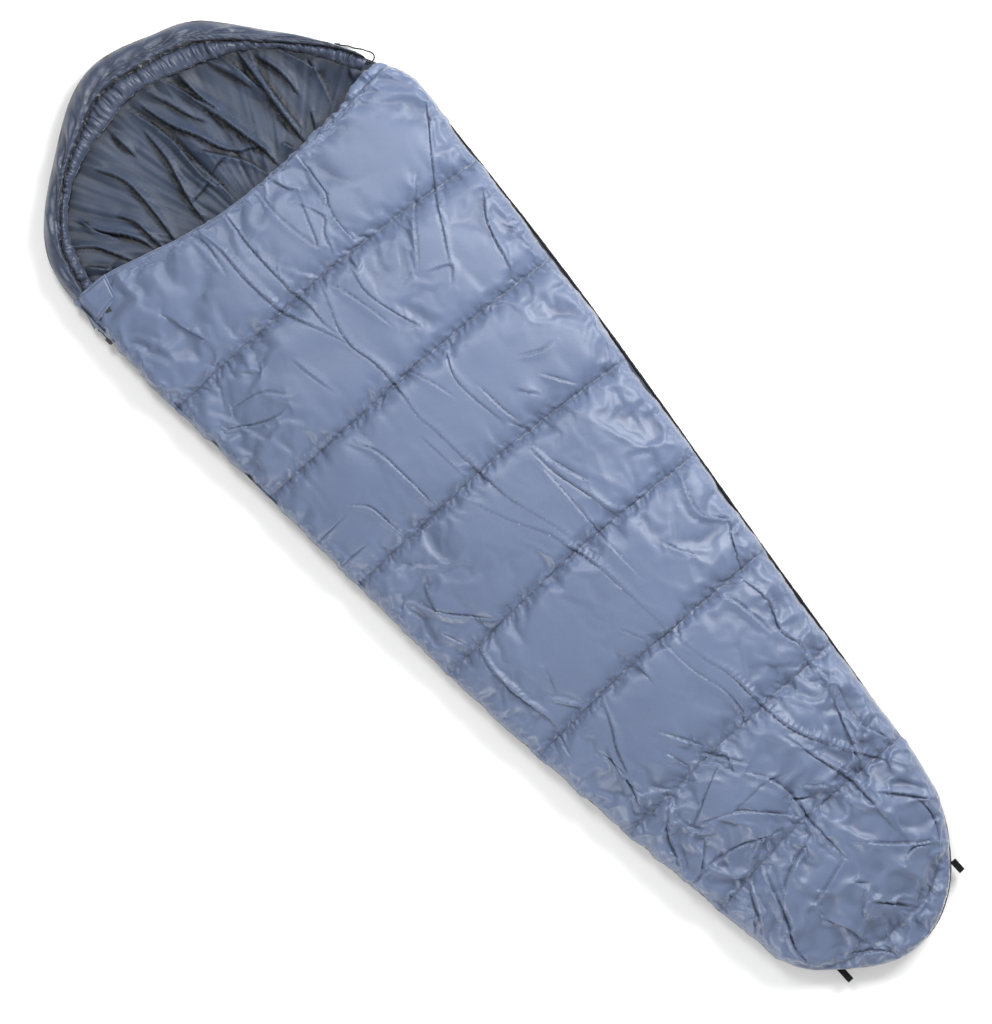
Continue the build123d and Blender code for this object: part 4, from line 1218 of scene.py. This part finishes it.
def coil(name, node, y_high, y_low, z_low, z_high, phase):
    """Zip coil: one moulded loop after another, as a flattened helix along the zip's arc."""
    pitch, wire, sides = 0.0034, 0.00042, 5
    line = MM * zip_line(y_high, y_low, 0.0, 2000)
    line[:, 0] += lean(line[:, 1])
    length = np.linalg.norm(np.diff(line, axis=0), axis=1).sum()
    turns = length / pitch
    count = int(turns * 10)
    t = np.linspace(0, 1, count)
    line = resample(line, count=count)
    step = np.gradient(line, axis=0)
    step /= np.linalg.norm(step, axis=1)[:, None]
    normal = np.c_[-step[:, 1], step[:, 0]]
    a = 2 * np.pi * turns * t + phase
    half = (z_high - z_low) / 2
    middle = (z_high + z_low) / 2
    path = np.c_[line + normal * (0.0012 * np.cos(a))[:, None], middle + (half - wire) * np.sin(a)]
    tangent = np.gradient(path, axis=0)
    tangent /= np.linalg.norm(tangent, axis=1)[:, None]
    side = np.cross(tangent, np.c_[step, np.zeros(count)])
    side /= np.maximum(np.linalg.norm(side, axis=1), 1e-9)[:, None]
    up = np.cross(tangent, side)
    turn = np.linspace(0, 2 * np.pi, sides, endpoint=False)
    rings = [path + wire * (np.cos(b) * side + np.sin(b) * up) for b in turn]
    made = put_mesh(name, np.stack(rings, 1).reshape(-1, 3), grid_faces(count, sides, wrap_columns=True))
    dress(made, COIL)
    goes_for(made, "zip_plastic", node)
    return made


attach(coil("zip_coil_loops_back", "zip_coil_back", 752, -861, 0.0319, 0.0344, 0.0), "back")
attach(coil("zip_coil_loops_cover", "zip_coil_cover", 726.5, -838.5, 0.0356, 0.0381, math.pi), "cover")

# ------------------------------ webbing loops at the foot


def loop_point(run, straight, r):
    """Place and outward direction, across and up, at a run round a flat loop with round ends."""
    half = 2 * straight + np.pi * r
    side = 1 if run < half else -1
    run = run if run < half else run - half
    if run < 2 * straight:
        return side * (run - straight), side * r, 0, side
    bend = (run - 2 * straight) / r
    sine, cosine = side * math.sin(bend), side * math.cos(bend)
    return side * straight + r * sine, r * cosine, sine, cosine


def webbing_loop(name, node):
    """Folded webbing: a strip bent round a flat slot, ribbed across its width."""
    lo, hi = (np.array(c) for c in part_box(node))
    wide, thick = hi[0] - lo[0], 0.0014
    cy, cz = (lo[1] + hi[1]) / 2, (lo[2] + hi[2]) / 2
    r = (hi[2] - lo[2]) / 2 - thick / 2
    straight = (hi[1] - lo[1]) / 2 - r - thick / 2
    around, across = 120, 25
    s = np.linspace(0, 1, around, endpoint=False)
    total = 4 * straight + 2 * np.pi * r
    d = s * total
    yy, zz, ny, nz = np.array([loop_point(run, straight, r) for run in d]).T
    xs = np.linspace(lo[0], hi[0], across)
    rib = 0.00012 * np.cos(2 * np.pi * (xs - lo[0]) / (wide / 6))
    selvage = 0.00015 * np.exp(-(np.minimum(xs - lo[0], hi[0] - xs) / 0.0008) ** 2)
    sag = 0.0005 * np.sin(yy / 0.006)[:, None] * np.linspace(-1, 1, across)[None]
    xs = xs + lean(lo[1])
    cy = cy + 0.002
    layers = []
    for side in (1, -1):
        off = side * thick / 2 + side * (rib + selvage)[None]
        y3 = cy + yy[:, None] + ny[:, None] * off
        z3 = cz + zz[:, None] + nz[:, None] * off + sag
        layers.append(np.stack([np.broadcast_to(xs, y3.shape), y3, z3], 2).reshape(-1, 3))
    n = around * across
    faces = []
    for k in range(around):
        m = (k + 1) % around
        for c in range(across - 1):
            a, b, e, g = k * across + c, k * across + c + 1, m * across + c + 1, m * across + c
            faces += [(a, g, e, b), (n + a, n + b, n + e, n + g)]
        for c in (0, across - 1):
            a, g = k * across + c, m * across + c
            faces.append((a, n + a, n + g, g) if c == 0 else (a, g, n + g, n + a))
    made = put_mesh(name, np.vstack(layers), faces)
    fold_shade(made, 0.0006)
    dress(made, WEBBING)
    goes_for(made, "webbing_black", node)
    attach(made, "back")


webbing_loop("hang_loop_webbing_left", "hang_loop_left")
webbing_loop("hang_loop_webbing_right", "hang_loop_right")

# ------------------------------ CAD nodes that stay, with their finishes
for node, material in (
    ("drawcord_end", CORD),
    ("drawcord_eyelet", METAL),
    ("cord_lock_barrel", PLASTIC),
    ("cord_lock_plunger", PLASTIC),
    ("cord_lock_spring", STEEL),
    ("slider_body", METAL),
    ("zip_pull", PLASTIC),
    ("zip_tape_back", WEBBING),
    ("zip_tape_cover", WEBBING),
    ("zip_bottom_stop", METAL),
    ("zip_top_stop", METAL),
):
    dress(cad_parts[node], material)
dress(tail, CORD)

# ------------------------------ bake the cloth pieces' placements into their meshes
for piece in (cover, cover_inside):
    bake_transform(piece)
for piece in (base_shell, base_lining):
    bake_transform(piece)

# ------------------------------ floor and light
FLOOR = 6.0  # metres from the middle to each side
FLOOR_SHADE = 0.92
WORLD_STRENGTH = 0.46
floor_mesh = bpy.data.meshes.new("floor")
floor_corners = [(-FLOOR, -FLOOR, 0), (FLOOR, -FLOOR, 0), (FLOOR, FLOOR, 0), (-FLOOR, FLOOR, 0)]
floor_mesh.from_pydata(floor_corners, [], [(0, 1, 2, 3)])
floor = bpy.data.objects.new("floor", floor_mesh)
bpy.context.scene.collection.objects.link(floor)
floor_material, _, floor_shader = principled("pale_floor", 0.9)
floor_shader.inputs["Base Color"].default_value = (FLOOR_SHADE, FLOOR_SHADE, FLOOR_SHADE, 1)
dress(floor, floor_material)


def area_light(name, place, size, power, aim=(0, 0, 0)):
    data = bpy.data.lights.new(name, "AREA")
    data.shape = "DISK"
    data.size = size
    data.energy = power
    light = bpy.data.objects.new(name, data)
    light.location = place
    light.rotation_euler = (Vector(aim) - Vector(place)).to_track_quat("-Z", "Y").to_euler()
    bpy.context.scene.collection.objects.link(light)


area_light("key", (2.5, 0.2, 2.2), 1.8, 138)
area_light("side", (-2.3, -1.4, 1.2), 0.9, 40)
area_light("top", (0.5, 1.9, 3.2), 1.0, 55)
world = bpy.data.worlds.new("world")
world.use_nodes = True
world.node_tree.nodes["Background"].inputs["Color"].default_value = (1.0, 1.0, 1.0, 1)
world.node_tree.nodes["Background"].inputs["Strength"].default_value = WORLD_STRENGTH
bpy.context.scene.world = world
bpy.context.scene.view_settings.view_transform = "Standard"
